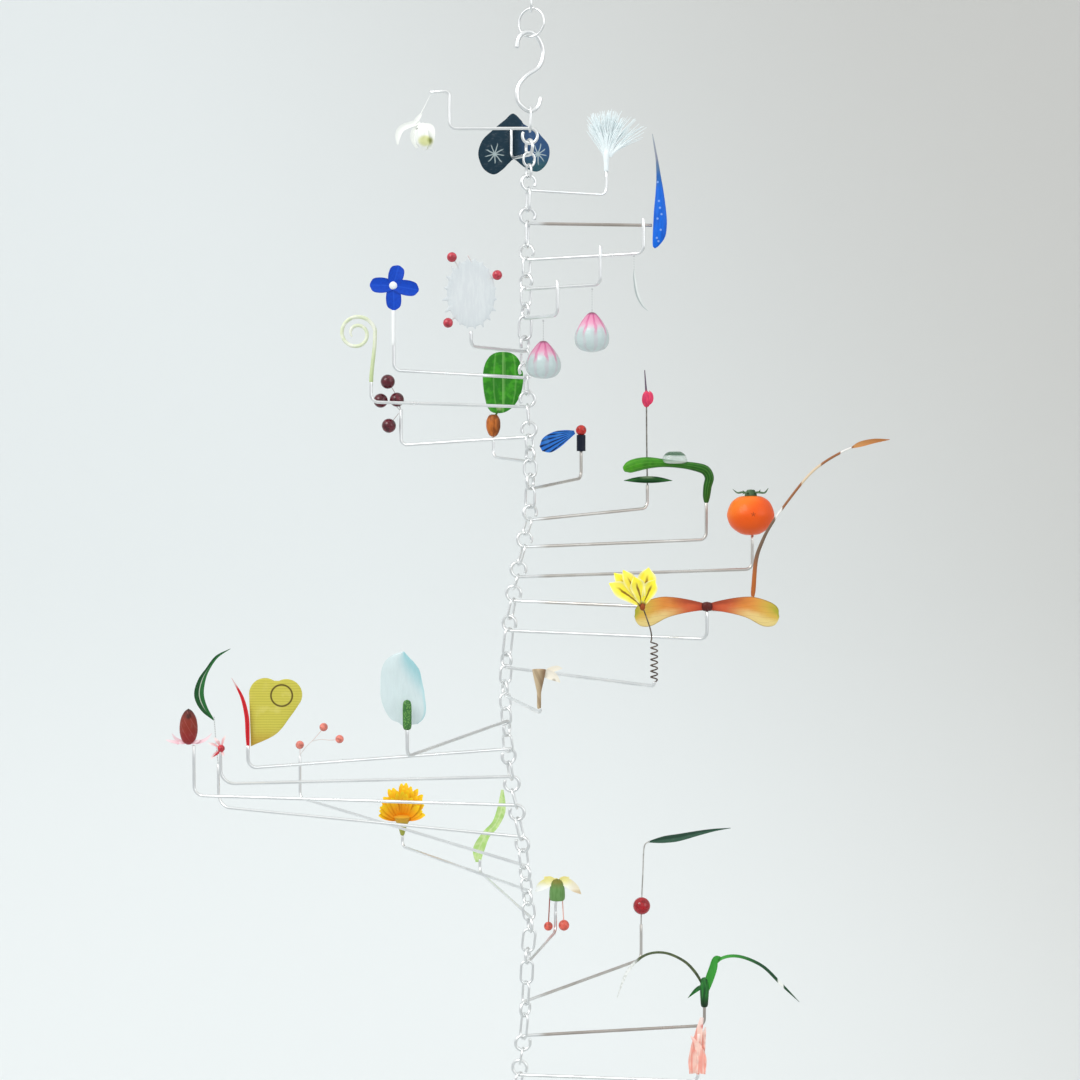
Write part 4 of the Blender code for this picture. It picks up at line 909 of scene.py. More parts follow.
class MOBILE_OT_tendril(bpy.types.Operator):
    """A pale green stem that curls in on itself."""
    bl_idname = "mobile.tendril"
    bl_label = "Tendril"

    def execute(self, context):
        tip = tip_of(10)
        turns = np.radians(np.linspace(10, 570, 110))
        radius = np.linspace(9.2, 2.6, 110)
        curl = np.stack([-7 + radius * np.cos(turns), 0 * turns, 22.5 + radius * np.sin(turns)], axis=1)
        stem = smooth([(0, 0, -1.0), (0.3, 0, 3.5), (0.8, 0, 8.0), (1.4, 0, 13.0), (1.9, 0, 18.0), curl[0]], 36)
        path = np.concatenate([stem[:-1], curl])
        f = Finish("tendril_paper", "mist_leaf", tip)
        base = f.mix(f.along.fade(0.0, 0.35), "c0d09a", f.mix(f.noise(0.25, 3).fade(0.4, 0.6), "f0f2e2", "dde5c4"))
        f.paper(base, 0.5, (1, 1, 1), 0.05)
        width = np.interp(np.linspace(0, 1, len(path)), (0, 0.1, 0.9, 1), (1.0, 0.95, 0.85, 0.4))
        piece("tendril_curl", ARMS[9].name, f, [tube(path, width, sides=12)], tip)
        return {"FINISHED"}


class MOBILE_OT_dark_berries(bpy.types.Operator):
    """Four maroon berries on thin stalks."""
    bl_idname = "mobile.dark_berries"
    bl_label = "Dark berries"

    def execute(self, context):
        tip = tip_of(11)
        places = ((-6.6, 0, 14.2), (-10.2, 0, 4.6), (-2.0, 0, 5.1), (-6.1, 0, -8.1))
        f = Finish("maroon_berry", "red_berry", tip)
        f.gloss(f.mix(f.noise(0.35, 3).fade(0.45, 0.7), paint("maroon"), "782634"), 0.16)
        skins = [bead(place, 3.65, number=n) for n, place in enumerate(places)]
        piece("dark_berries", ARMS[10].name, f, skins, tip)
        s = Finish("berry_stalk", "brown_seed", tip)
        s.paper(s.mix(s.along, "c9c4bf", "8a6a6c"), 0.5)
        routes = [smooth([(0, 0, -0.6), (x * 0.4, 0.5, z * 0.5 + 0.6), (x, y, z)], 12) for x, y, z in places]
        stalks = [tube(route, 0.15, (0.1, 1, 0.05), 6) for route in routes]
        piece("dark_berry_stalks", ARMS[10].name, s, stalks, tip)
        return {"FINISHED"}


class MOBILE_OT_acorn(bpy.types.Operator):
    """A small acorn, and over it a broad striped leaf with a notch."""
    bl_idname = "mobile.acorn"
    bl_label = "Acorn and leaf"

    def execute(self, context):
        tip = tip_of(12)
        f = Finish("acorn_brown", "brown_seed", tip)
        grain = f.noise(0.9, 4, (1, 1, 0.2))
        base = f.mix(grain.fade(0.4, 0.65), paint("acorn"), "8f4a1c")
        # Darker towards the right side: painted shade. Darker from about 9 mm up: the cap's own colour.
        base = f.mix((f.x.fade(0.6, 3.2)).most(f.z.fade(9.0, 12.0)) * 0.7, base, "5c3216")
        f.paper(base, 0.4, (1, 1, 0.2), 0.12, 0.12)
        profile = [(0, 0.4), (1.2, 0.7), (2.4, 1.8), (3.5, 4.6), (3.7, 7.0), (3.4, 9.4), (2.1, 11.6), (0, 12.1)]
        piece("acorn_body", "acorn", f, [turned(profile, sides=28)], tip)
        s = Finish("acorn_stalk", "brown_seed", tip)
        s.paper("3d6a26", 0.5)
        stalk = tube(smooth([(0.9, 0, 11.2), (1.7, 0, 12.4), (2.5, 0, 13.9)], 10), 0.5, sides=8)
        piece("acorn_stalk", "acorn", s, [stalk], tip)
        turns = 2 * np.pi * np.arange(160) / 160
        reach = 1 - 0.20 * np.exp(-(((turns - 0.42) / 0.10) ** 2))
        cos, sin = np.cos(turns), np.sin(turns)
        low = np.maximum(-sin, 0)
        outline = np.stack([
            5.0 + 10.4 * reach * np.sign(cos) * np.abs(cos) ** 0.78 - 2.5 * low ** 3,
            30.0 + 14.1 * reach * np.maximum(sin, 0) ** 0.88 - 17.4 * low ** 1.15,
        ], axis=1)
        g = Finish("striped_green_paper", "green_leaf", tip)
        bow = (g.x - 5) / (1 - ((g.z - 30) / 19.5) ** 2).most(0.2) ** 0.5
        faint = (bow * 1.1 + g.noise(0.2, 2) * 1.2).sine().fade(0.8, 1.0) * 0.25
        line = bow.size().fade(0.55, 0.2) * 0.6
        base = g.mix(g.noise(0.25, 3).fade(0.45, 0.65), paint("leaf"), "3f9a22")
        base = g.mix(faint.most(line), base, "8cc26e")
        base = g.mix(g.close(3.2, 15.6, 1.2, 1.4) * 0.6, base, "c3d49a")
        g.paper(base, 0.5, (1, 1, 0.25), 0.12, 0.08)
        piece("green_leaf_sheet", "green_leaf", g, [disc(outline, (5, 30), 0.8, 0.0, 0.1, rows=14)], tip)
        return {"FINISHED"}


class MOBILE_OT_striped_petal(bpy.types.Operator):
    """A dark drum, a red ball on it, and a striped blue petal that fans out from between them."""
    bl_idname = "mobile.striped_petal"
    bl_label = "Striped petal"

    def execute(self, context):
        tip, node = tip_of(13), ARMS[12].name
        f = Finish("petal_blue_stripes", "blue_petal", tip)
        fan = (f.z - 9.6).math("ARCTAN2", f.z - 9.6, f.x * -1 + -2.0)
        line = (fan * 46 + f.noise(0.3, 2)).sine().fade(0.1, 0.7)
        base = f.mix(line, "2f78d8", "0d2450")
        f.paper(f.mix(f.noise(0.3, 3).fade(0.5, 0.7) * 0.4, base, "4f96e8"), 0.42, (0.2, 1, 1), 0.1, 0.08)
        path = [(-3.4, 0, 9.3), (-8.0, -0.2, 7.7), (-13, -0.3, 5.4), (-18, -0.2, 2.4), (-21.2, 0, 0.6)]
        piece("striped_petal_sheet", "striped_petal", f, [leaf(path, (0.9, 2.9, 4.4, 4.3, 1.5), 0.5, cup=0.12)], tip)
        d = Finish("drum_navy", "navy_leaf", tip).paper("141b2c", 0.35, (0.2, 1, 1), 0.1, 0.08)
        profile = [(0, -0.7), (2.1, -0.65), (2.35, -0.2), (2.35, 3.6), (2.35, 7.4), (2.1, 7.8), (0, 7.8)]
        piece("drum", node, d, [turned(profile, sides=28, count=40)], tip)
        r = Finish("ball_red", "red_berry", tip).gloss("cf2a22")
        piece("red_ball", node, r, [bead((0, 0, 10.3), 2.85)], tip)
        return {"FINISHED"}


class MOBILE_OT_pink_bud(bpy.types.Operator):
    """A pink bud on a long wire above a rosette of dark leaves."""
    bl_idname = "mobile.pink_bud"
    bl_label = "Pink bud"

    def execute(self, context):
        tip, node = tip_of(14), ARMS[13].name
        g = Finish("rosette_green", "green_leaf", tip)
        shine = g.x.size().fade(5.0, 1.0) * g.z.fade(3.0, 4.2)
        g.paper(g.mix(shine * 0.6, g.mix(g.across.size().fade(0.1, 0.9), "2f6a2c", paint("dark_leaf")), "b9d0a8"), 0.5,
                (1, 1, 1), 0.12)
        leaves = []
        for number, (facing, reach, half) in enumerate((((0, -1, 0.15), 12.6, 1.8), ((0, -0.3, 1), 8.0, 2.6))):
            path = [(s * reach + 0.4, -0.3 * (1 - s * s), 2.9 - 0.5 * s * s) for s in (-1, -0.5, 0, 0.5, 1)]
            leaves.append(leaf(path, (0.1, half * 0.75, half, half * 0.75, 0.1), 0.6, facing, cup=0.1, number=number))
        piece("rosette_leaves", node, g, leaves, tip)
        w = Finish("bud_wire", "steel_wire", tip)
        w.done(w.mix(w.noise(0.3, 3).fade(0.4, 0.6), "6b6660", "8c8780"), 0.4, w.noise(2.0, 3), 0.03, Metallic=0.6)
        stem = smooth([(0.05, 0.05, -0.6), (-0.2, 0.05, 12), (-0.4, 0.05, 26), (-0.5, 0.05, 41)], 20)
        piece("bud_stem", node, w, [tube(stem, 0.38, sides=8)], tip)
        p = Finish("bud_pink", "pink_shell", tip)
        base = p.mix(p.noise(0.7, 3, (1, 1, 0.3)).fade(0.4, 0.6), "f04a6a", "d23a62")
        p.paper(p.mix(p.z.fade(48.0, 50.0), base, "6a5a6c"), 0.45, (1, 1, 0.3), 0.1)
        skins = [
            turned([(0, 40.4), (1.2, 40.9), (2.3, 43.2), (2.3, 45.8), (1.6, 47.8), (0.4, 49.0)], (-0.5, 0, 0), 20),
            tube(smooth([(-0.5, 0, 46.5), (-0.9, 0, 51.5), (-1.5, 0, 59.6)], 12), np.linspace(0.7, 0.25, 12), sides=8),
            leaf([(-0.3, -0.8, 41.2), (1.6, -1.8, 43.6), (1.9, -1.2, 46.8), (0.9, -0.4, 49)], (0.4, 1.1, 0.9, 0.1), 0.35, cup=0.3),
        ]
        piece("pink_bud_petals", node, p, skins, tip)
        return {"FINISHED"}


class MOBILE_OT_green_pod(bpy.types.Operator):
    """A stem that bends over into a plump pod, with a clear drop on its back."""
    bl_idname = "mobile.green_pod"
    bl_label = "Green pod"

    def execute(self, context):
        tip = tip_of(15)
        marks = np.array([
            (0, 0.35, 1.2), (0.1, 3.5, 1.9), (0.6, 8.5, 2.2), (1.5, 13, 2.4), (-0.6, 16.8, 2.5), (-6, 18.6, 2.2), (-13, 19.6, 1.8),
            (-22, 20.5, 2.1), (-30, 20.6, 3.0), (-36, 19.6, 3.35), (-40, 18.3, 3.0), (-42.3, 17.4, 1.6),
        ])
        marks = smooth(marks, 70)
        path = np.stack([marks[:, 0], 0 * marks[:, 0], marks[:, 1]], axis=1)
        f = Finish("pod_green", "green_leaf", tip)
        patch = f.noise(0.3, 4).fade(0.42, 0.62)
        base = f.ramp(f.along, (0.0, "2a5a18"), (1.0, "4ea020"), (0.22, "1f5a14"), (0.5, "2a6a1a"), (0.75, "3f8c1e"))
        base = f.mix(patch * 0.3, base, "1a4a14")
        lines = (f.across * 11 + f.noise(0.15, 2) * 1.5).sine().fade(0.7, 1.0)
        f.paper(f.mix(lines * 0.3, base, "7cbc48"), 0.4, (0.3, 1, 1), 0.12, 0.08)
        piece("green_pod_body", "green_pod", f, [tube(path, marks[:, 2], sides=24)], tip)
        g = Finish("dew_drop", "aqua_petal", tip)
        # Dark green band near the top: painted refraction of the green pod in the clear drop. Pale lower rim: painted
        # light.
        band = g.z.fade(23.8, 24.8) * g.z.fade(26.6, 26.0)
        rim = g.z.fade(22.2, 20.8)
        base = g.mix(rim, g.mix(band, "c9ddd2", "256038"), "eef5f1")
        g.done(base, g.noise(0.6, 2) * 0.04 + 0.04, g.noise(0.8, 2), 0.02, band * 0.4 + rim * 0.3 + 0.38, Coat_Weight=1.0)
        dome = turned([(0, 20.1), (4.5, 20.2), (6.4, 21.0), (6.5, 22.6), (5.2, 25.0), (2.8, 26.5), (0, 26.8)], (-16.4, 0.2, 0), 40, 0.7)
        piece("green_pod_drop", "green_pod", g, [dome], tip)
        return {"FINISHED"}


class MOBILE_OT_orange_fruit(bpy.types.Operator):
    """A squat orange fruit under a small dark calyx."""
    bl_idname = "mobile.orange_fruit"
    bl_label = "Orange fruit"

    def execute(self, context):
        tip = tip_of(16)
        f = Finish("fruit_orange", "orange_fruit", tip)
        # Darker and redder towards the right side: painted shade.
        side = (f.x + 1 + f.noise(0.15, 3) * 6 - 3).fade(0, 12)
        base = f.mix(side, paint("orange"), "e4520d")
        # Lighter towards the upper left: painted light.
        base = f.mix((f.x * -0.7 + f.z - 13).fade(0, 10) * 0.6, base, "f98a1a")
        pores = f.node("ShaderNodeTexVoronoi", None, {"Vector": f.spot, "Scale": 1.1})
        dx, dz = f.x + 0.8, f.z - 11.2
        reach = (dz.math("ARCTAN2", dz, dx) * 5).sine() * 0.45 + 0.8
        star = (reach - (dx ** 2 + dz ** 2) ** 0.5).fade(-0.15, 0.15) * f.y.fade(0, -2)
        base = f.mix(star * 0.6, base, "7a2c08")
        base = f.mix(pores.fade(0.3, 0.0) * 0.3, base, "c94f0c")
        f.done(base, f.noise(0.5, 3) * 0.15 + 0.36, pores, 0.04, Coat_Weight=0.12, Specular_IOR_Level=0.25)
        profile = [
            (0, 0.6), (2.0, 0.4), (5.6, 1.4), (9.8, 4.6), (11.8, 9.0), (11.7, 12.6), (9.6, 17.2), (6.0, 19.8),
            (2.4, 20.3), (0, 19.8),
        ]
        body = turned(profile, (-1, 0, 0), 56, ribs=5, swell=0.012, count=44)
        piece("orange_fruit_body", "orange_fruit", f, [body], tip)
        g = Finish("calyx_green", "green_leaf", tip)
        g.paper(g.mix(g.across.size().fade(0.0, 0.8), "5f7a58", "33502f"), 0.5, (1, 1, 1), 0.15)
        skins = [turned([(0, 19.2), (2.8, 19.9), (3.1, 21.0), (2.4, 22.3), (1.9, 23.3), (0, 23.6)], (-0.9, 0, 0), 18)]
        sepals = (
            (-10.2, 0, 23.8), (8.1, 0, 24.3), (-5.6, -5.5, 21.2), (4.4, -5.2, 21.4), (-4.5, 5, 23.0), (4.5, 5, 23.4),
        )
        for number, (x, y, z) in enumerate(sepals):
            path = [(-0.9, 0, 20.6), (x * 0.4 - 0.5, y * 0.4, 22.0), (x * 0.75, y * 0.75, 21.8), (x, y, z)]
            skins.append(leaf(path, (0.5, 0.8, 0.65, 0.1), 0.4, (0, -0.6, 1), cup=0.2, number=number))
        piece("orange_fruit_calyx", "orange_fruit", g, skins, tip)
        return {"FINISHED"}


class MOBILE_OT_reed(bpy.types.Operator):
    """A jointed brown reed that leans out, with a narrow leaf at its end."""
    bl_idname = "mobile.reed"
    bl_label = "Reed"

    def execute(self, context):
        tip, node = tip_of(17), ARMS[16].name
        path = smooth([
            (0, 0, -1), (0.4, 0, 3), (1.6, 0, 17), (4.6, 0, 26), (8.2, 0, 33), (15, 0, 43), (26, 0, 57), (34, 0, 64),
            (42.8, 0, 69.2), (48.6, 0, 71.9),
        ], 90)
        u = np.linspace(0, 1, 90)
        f = Finish("reed_brown", "brown_seed", tip)

        def band(low, high):
            return f.x.fade(low - 0.4, low + 0.4) * f.x.fade(high + 0.4, high - 0.4)

        base = f.mix(f.z.fade(8, 22), "b4652f", "75604f")
        base = f.mix(f.x.fade(13, 15), base, "9a6440")
        base = f.mix(band(23.4, 32.8), base, "dcc6a8")
        base = f.mix(band(10.8, 14.1).most(band(42.2, 47.6)), base, "eceae6")
        f.paper(base, 0.5, (1, 1, 0.2), 0.15, 0.1)
        width = np.interp(u, (0, 0.1, 0.3, 0.5, 0.88, 1), (0.8, 1.15, 0.9, 0.62, 0.6, 0.35))
        piece("reed_stem", node, f, [tube(path, width, sides=12)], tip)
        g = Finish("reed_leaf_tan", "brown_seed", tip)
        g.paper(g.mix(g.along.fade(0.2, 0.9), "c98d55", "b0703c"), 0.5, (0.2, 1, 1), 0.15)
        marks = [(47.6, 0, 71.4), (52, 0, 73.1), (58.5, 0, 74.6), (66.0, 0, 75.3)]
        piece("reed_leaves", node, g, [leaf(marks, (0.4, 1.3, 1.1, 0.15), 0.5, cup=0.3)], tip)
        return {"FINISHED"}


class MOBILE_OT_maple_key(bpy.types.Operator):
    """Two wings that rise from a dark seed, broaden and droop at their rounded ends."""
    bl_idname = "mobile.maple_key"
    bl_label = "Maple key"

    def execute(self, context):
        tip = tip_of(18)
        spine = np.array([
            (0.6, 2.4, 1.5), (8, 2.8, 2.9), (16, 2.6, 4.4), (22, 1.6, 5.4), (28.7, -1.3, 5.9), (32.4, -2.9, 4.3),
            (34.0, -3.4, 1.2),
        ])
        f = Finish("wing_paper", "amber_wing", tip)
        edge = f.across + f.noise(0.3, 3) * 0.4 - 0.2
        base = f.ramp(f.along, (0.0, "b8402f"), (1.0, "cfb450"), (0.18, "cf5f3a"), (0.4, "dd8b3f"), (0.7, "d8b050"))
        base = f.mix(edge.fade(-0.1, 0.6) * f.along.fade(0.15, 0.5) * 0.7, base, "f0dc98")
        upper = edge.fade(0.0, -0.7)
        base = f.mix(upper * f.along.fade(0.55, 0.1) * 0.8, base, "8f3a24")
        base = f.mix(upper * f.along.fade(0.45, 0.85) * 0.85, base, "9aa02a")
        base = f.mix(f.across.size().fade(0.9, 0.98) * 0.5, base, "6f4a22")
        veins = (f.across * 7 + f.along * 16).sine().size().fade(0.16, 0.0) * 0.35
        f.paper(f.mix(veins, base, "9a5a35"), 0.45, (0.3, 1, 1), 0.12, 0.08)
        wings = []
        for side in (-1, 1):
            path = np.stack([side * spine[:, 0], 0.15 * side + 0 * spine[:, 0], spine[:, 1]], axis=1)
            wings.append(leaf(path, spine[:, 2], 0.6, (0, -side, 0), cup=-0.06 * side, rows=60, number=side))
        piece("maple_key_wings", "maple_key", f, wings, tip)
        s = Finish("seed_maroon", "brown_seed", tip).paper("5a2420", 0.35, (1, 1, 0.3), 0.15)
        seed = turned([(0, 0.3), (1.7, 0.5), (2.5, 1.5), (2.6, 3.0), (2.0, 4.3), (0, 4.8)], sides=24, squash=0.8)
        piece("maple_key_seed", "maple_key", s, [seed], tip)
        return {"FINISHED"}


class MOBILE_OT_yellow_flower(bpy.types.Operator):
    """Thin yellow petals on a stem that springs from a coil of dark wire."""
    bl_idname = "mobile.yellow_flower"
    bl_label = "Yellow flower"

    def execute(self, context):
        tip, node = tip_of(19), ARMS[18].name
        w = Finish("coil_dark_wire", "steel_wire", tip)
        w.done(w.mix(w.noise(0.4, 3).fade(0.4, 0.6), "4a3f38", "776a60"), 0.35, w.noise(2.0, 3), 0.03, Metallic=0.8)
        turns = np.linspace(0, 6.5 * 2 * np.pi, 160)
        coil = np.stack([1.55 * np.cos(turns) - 0.1, 1.55 * np.sin(turns), 1.0 + 17.4 * turns / turns[-1]], axis=1)
        stem = smooth([coil[-1], (-1.2, 0.2, 20.5), (-1.9, 0.1, 24.5), (-3.4, 0, 29), (-5.3, 0, 34.4)], 24)
        path = np.concatenate([[(0, 0, -0.6)], coil, stem[1:]])
        piece("coil_and_stem", node, w, [tube(path, 0.33, (0.05, 0.1, 1), 8)], tip)
        f = Finish("petal_yellow", "yellow_petal", tip)
        root = np.array([-5.5, 0, 34.6])
        away = ((f.x + 5.5) ** 2 + (f.z - 34.6) ** 2) ** 0.5
        ray = (f.across + f.noise(0.4, 2) * 0.3 - 0.15).size().fade(0.2, 0.05) * f.along.fade(0.8, 0.55)
        base = f.mix(f.noise(0.22, 3).fade(0.4, 0.6) * 0.3, paint("yellow"), "fff08a")
        base = f.mix(f.across.size().fade(0.55, 1.0) * 0.7, base, "fffbc4")
        base = f.mix(ray * 0.85, base, "6e2412")
        f.paper(f.mix(away.fade(3.4, 1.0), base, "5a1c10"), 0.5, (1, 1, 1), 0.05, 0.08)
        skins = []
        petals = (
            (-15.5, -2, 11, 3.6), (-13, 2, 15.5, 3.4), (-4, -3, 14, 3.4), (3.0, 2, 18, 4.2), (5.5, -2, 12.5, 3.2),
            (-9, -1, 17.0, 3.0),
        )
        for number, (x, y, z, half) in enumerate(petals):
            out = np.array([x, y, z])
            path = [root, root + out * 0.3 + (0, -0.4, 0.6), root + out * 0.7 + (0, -0.5, 0.6), root + out * 0.99]
            skins.append(leaf(path, (0.5, half * 0.7, half, 0.3), 0.35, (0.1, -1, 0.2), cup=0.25, wave=0.3, number=number))
        piece("yellow_petals", "yellow_flower", f, skins, tip)
        c = Finish("flower_heart_brown", "brown_seed", tip).paper("9a4a1c", 0.5)
        piece("yellow_flower_heart", "yellow_flower", c, [bead(root, 1.3, 1.4, 16)], tip)
        return {"FINISHED"}


class MOBILE_OT_trumpet(bpy.types.Operator):
    """A slim paper cone with loose cream petals at its mouth."""
    bl_idname = "mobile.trumpet"
    bl_label = "Paper trumpet"

    def execute(self, context):
        tip = tip_of(20)
        f = Finish("cone_sand", "sand_paper", tip)
        wrap = (f.x * 1.2 + f.z * 0.55 + f.noise(0.3, 3) * 1.2).sine().fade(0.2, 0.8)
        # Darker towards the right side of the cone: painted shade.
        base = f.mix((f.x + 0.6).fade(-1.5, 3.0), paint("sand"), "8f7255")
        f.paper(f.mix(wrap * 0.35, base, "6f563f"), 0.55, (1, 1, 0.3), 0.15, 0.1)
        horn = turned([(0, 0.35), (0.9, 0.5), (1.0, 7), (1.5, 10), (2.4, 14), (3.2, 18.0), (2.8, 18.3), (0, 15)], (-0.6, 0, 0), 28, count=40)
        piece("trumpet_cone", "paper_trumpet", f, [horn], tip)
        g = Finish("trumpet_cream", "white_petal", tip)
        g.paper(g.mix(g.close(6.4, 13.4, 0.9, 0.5) * 0.6, "f1eadb", "7a6a58"), 0.5, (0.3, 1, 1), 0.08)
        skins = [
            leaf([(0.8, 0, 15.6), (3.4, -0.5, 16.4), (6.5, -0.8, 15.2), (9.4, -1, 12.6)], (0.8, 2.0, 1.9, 0.2), 0.4, cup=0.25),
            leaf([(1.0, 0.4, 16), (4.5, 0.6, 18.2), (8.0, 0.7, 19.2), (10.4, 0.8, 19.0)], (0.6, 1.3, 1.2, 0.2), 0.4, cup=0.2),
        ]
        piece("trumpet_petals", "paper_trumpet", g, skins, tip)
        return {"FINISHED"}


class MOBILE_OT_spathe(bpy.types.Operator):
    """A pale clear hood that stands behind a green club."""
    bl_idname = "mobile.spathe"
    bl_label = "Pale spathe"

    def execute(self, context):
        tip, node = tip_of(21), ARMS[20].name
        g = Finish("spadix_green", "green_leaf", tip)
        bumps = g.node("ShaderNodeTexVoronoi", None, {"Vector": g.spot, "Scale": 1.4})
        base = g.mix(bumps.fade(0.1, 0.6), "6fa84f", "2f6a2a")
        g.done(base, 0.5, 1 - bumps, 0.15)
        profile = [(0, -1.0), (1.0, -0.9), (1.9, 0.4), (2.0, 5), (2.0, 9.5), (1.5, 12), (0, 12.8)]
        club = turned(profile, sides=24, squash=0.8)
        piece("spadix", node, g, [club], tip)
        f = Finish("hood_aqua", "aqua_petal", tip)
        rib = (f.across * 15).sine().size().fade(0.35, 0.0)
        blue = (f.z * 0.03 + f.across * 0.5).fade(0.7, 1.25).most(f.across.fade(0.8, 1.0) * 0.7)
        base = f.mix(rib * 0.08, f.mix(blue, paint("aqua"), "a5dbe2"), "f2f8f8")
        cloud = f.noise(0.3, 3, (1, 1, 0.3))
        f.done(base, cloud * 0.15 + 0.3, cloud + rib * 0.2, 0.08, cloud * 0.3 + 0.6, Coat_Weight=0.2)
        path = [
            (1.0, 4.2, 0.8), (0.4, 4.6, 5), (-2.2, 4.9, 12.6), (-3.1, 5.0, 19.3), (-3.4, 4.6, 26), (-2.8, 4.1, 30.5),
            (-1.8, 3.8, 34.2),
        ]
        hood = leaf(path, (3.5, 8.0, 9.9, 9.5, 8.4, 5.4, 0.3), 0.6, cup=-0.24, rows=50)
        piece("pale_spathe_hood", "pale_spathe", f, [hood], tip)
        return {"FINISHED"}


class MOBILE_OT_heart_leaf(bpy.types.Operator):
    """An olive leaf of two lobes on a long point, beside a bright red blade."""
    bl_idname = "mobile.heart_leaf"
    bl_label = "Heart leaf"

    def execute(self, context):
        tip, node = tip_of(22), ARMS[21].name
        point = (1.2, 0, -0.5)
        lobes = [arc((8.0, 0, 24.2), 7.5, 182, 56, 40), arc((18.0, 0, 23.8), 7.4, 118, -30, 50)]
        lower = smooth([lobes[1][-1], (19.6, 0, 13.2), (12.9, 0, 5.2), point], 50)
        marks = np.concatenate([np.linspace(point, lobes[0][0], 30)[:-1], *lobes, lower[1:-1]])
        f = Finish("olive_paper", "olive_leaf", tip)
        lines = (f.z * 5.2 + f.noise(0.15, 2) * 2).sine().fade(0.1, 0.9)
        base = f.mix(lines * 0.5, paint("olive"), "aca13c")
        base = f.mix(f.noise(0.15, 3).fade(0.5, 0.7) * 0.4, base, "ddd378")
        # Darker and browner towards the bottom point, beside the red blade: painted shadow.
        base = f.mix(f.z.fade(10, -1) * 0.6, base, "b9832e")
        away = ((f.x - 15.8) ** 2 + (f.z - 23.5) ** 2) ** 0.5
        ring = (away - 5.0).size().fade(0.6, 0.2)
        f.paper(f.mix(ring * 0.9, base, "4a3418"), 0.5, (1, 1, 0.2), 0.1, 0.08)
        sheet = disc(marks[:, [0, 2]], (11.5, 20), 0.8, 1.9, 0.1, rows=14)
        piece("heart_leaf_sheet", "heart_leaf", f, [sheet], tip)
        r = Finish("blade_red", "red_berry", tip)
        base = r.mix(r.across.size().fade(0.0, 0.25), "8f1420", "d0222c")
        r.paper(r.mix(r.along.fade(0.84, 0.94), base, "d9b9b9"), 0.42, (1, 1, 0.25), 0.12, 0.08)
        path = [(0.2, 0, -1.3), (0, 0, 5), (-0.4, 0, 14), (-2.6, 0, 23), (-7.4, 0, 32.0)]
        piece("red_blade", node, r, [leaf(path, (0.6, 0.95, 1.0, 0.75, 0.1), 0.9, cup=0.3)], tip)
        return {"FINISHED"}


class MOBILE_OT_small_flower(bpy.types.Operator):
    """A red bead among thin pale pink petals."""
    bl_idname = "mobile.small_flower"
    bl_label = "Small flower"

    def execute(self, context):
        tip, node = tip_of(23), ARMS[22].name
        f = Finish("small_petal_pink", "pink_shell", tip)
        f.paper(f.mix(f.along.fade(0.1, 0.9), "f0b0b4", "fbeceb"), 0.5, (1, 1, 1), 0.05)
        skins = []
        petals = ((-6.0, 0, 3.5), (-5.0, 0, -4.5), (2.5, 0, 7.0), (-1.5, -1, 5.5), (2.0, -1, -3.0), (-3.2, 1, 6.0))
        for number, (x, y, z) in enumerate(petals):
            path = [(0.4, 0.1 * number, 0.3), (x * 0.5, y * 0.6, z * 0.55 + 0.6), (x * 0.8, y, z * 0.85), (x, y, z)]
            skins.append(leaf(path, (0.25, 0.6, 0.55, 0.1), 0.35, cup=0.3, number=number))
        piece("small_flower_petals", node, f, skins, tip)
        r = Finish("small_bead_red", "red_berry", tip).gloss("d43440")
        streak = leaf([(0, -0.6, -0.6), (-1.6, -0.7, -2.0), (-3.4, -0.4, -3.4)], (0.3, 0.5, 0.1), 0.35)
        piece("small_flower_bead", node, r, [bead((0.4, -0.2, 0.6), 1.8), streak], tip)
        return {"FINISHED"}


class MOBILE_OT_brown_bud(bpy.types.Operator):
    """A pointed brown bud over thin, spreading pink petals."""
    bl_idname = "mobile.brown_bud"
    bl_label = "Brown bud"

    def execute(self, context):
        tip = tip_of(24)
        f = Finish("bud_brown", "brown_seed", tip)
        base = f.ramp(f.along, (0.0, "c0204a"), (1.0, "2a1512"), (0.3, "963030"), (0.6, "8a3428"))
        scale = (f.x * 0.9 + f.z * 0.5).sine().size().fade(0.2, 0.0) * 0.35
        base = f.mix(scale, base, "c0706a")
        # A dark spot near the top, where the bud has a hollow: painted shade.
        f.paper(f.mix(f.close(-2.0, 15.6, 1.3, 0.8) * 0.7, base, "1c0e0c"), 0.4, (1, 1, 0.25), 0.2, 0.15)
        profile = [(0, 0.5), (1.4, 0.8), (3.3, 2.6), (4.5, 6.4), (4.6, 10.5), (3.8, 14.6), (2.0, 17.8), (0, 19.2)]
        piece("brown_bud_body", "brown_bud", f, [turned(profile, (-2.6, 0, 0), 32)], tip)
        g = Finish("bud_petal_pink", "pink_shell", tip)
        g.paper(g.mix(g.along.fade(0.0, 0.8), "f0a0b6", "f9e0e6"), 0.5, (1, 1, 1), 0.05, alpha=0.9)
        root = np.array([-2.6, 0, 2.6])
        skins = []
        petals = ((-11.6, -1.4, 0.6), (12.2, -1.4, 4.0), (-5.8, -1.2, -1.9), (6.4, -1.6, 0.8), (-9.0, 1.4, 3.6))
        for number, (x, y, z) in enumerate(petals):
            path = [root, root + (x * 0.35, y * 0.7, -0.9), root + (x * 0.75, y, -0.4 + z * 0.3), root + (x, y, z)]
            skins.append(leaf(path, (0.35, 0.8, 0.8, 0.12), 0.35, (0, -1, 0.5), cup=0.25, number=number))
        piece("brown_bud_petals", "brown_bud", g, skins, tip)
        return {"FINISHED"}


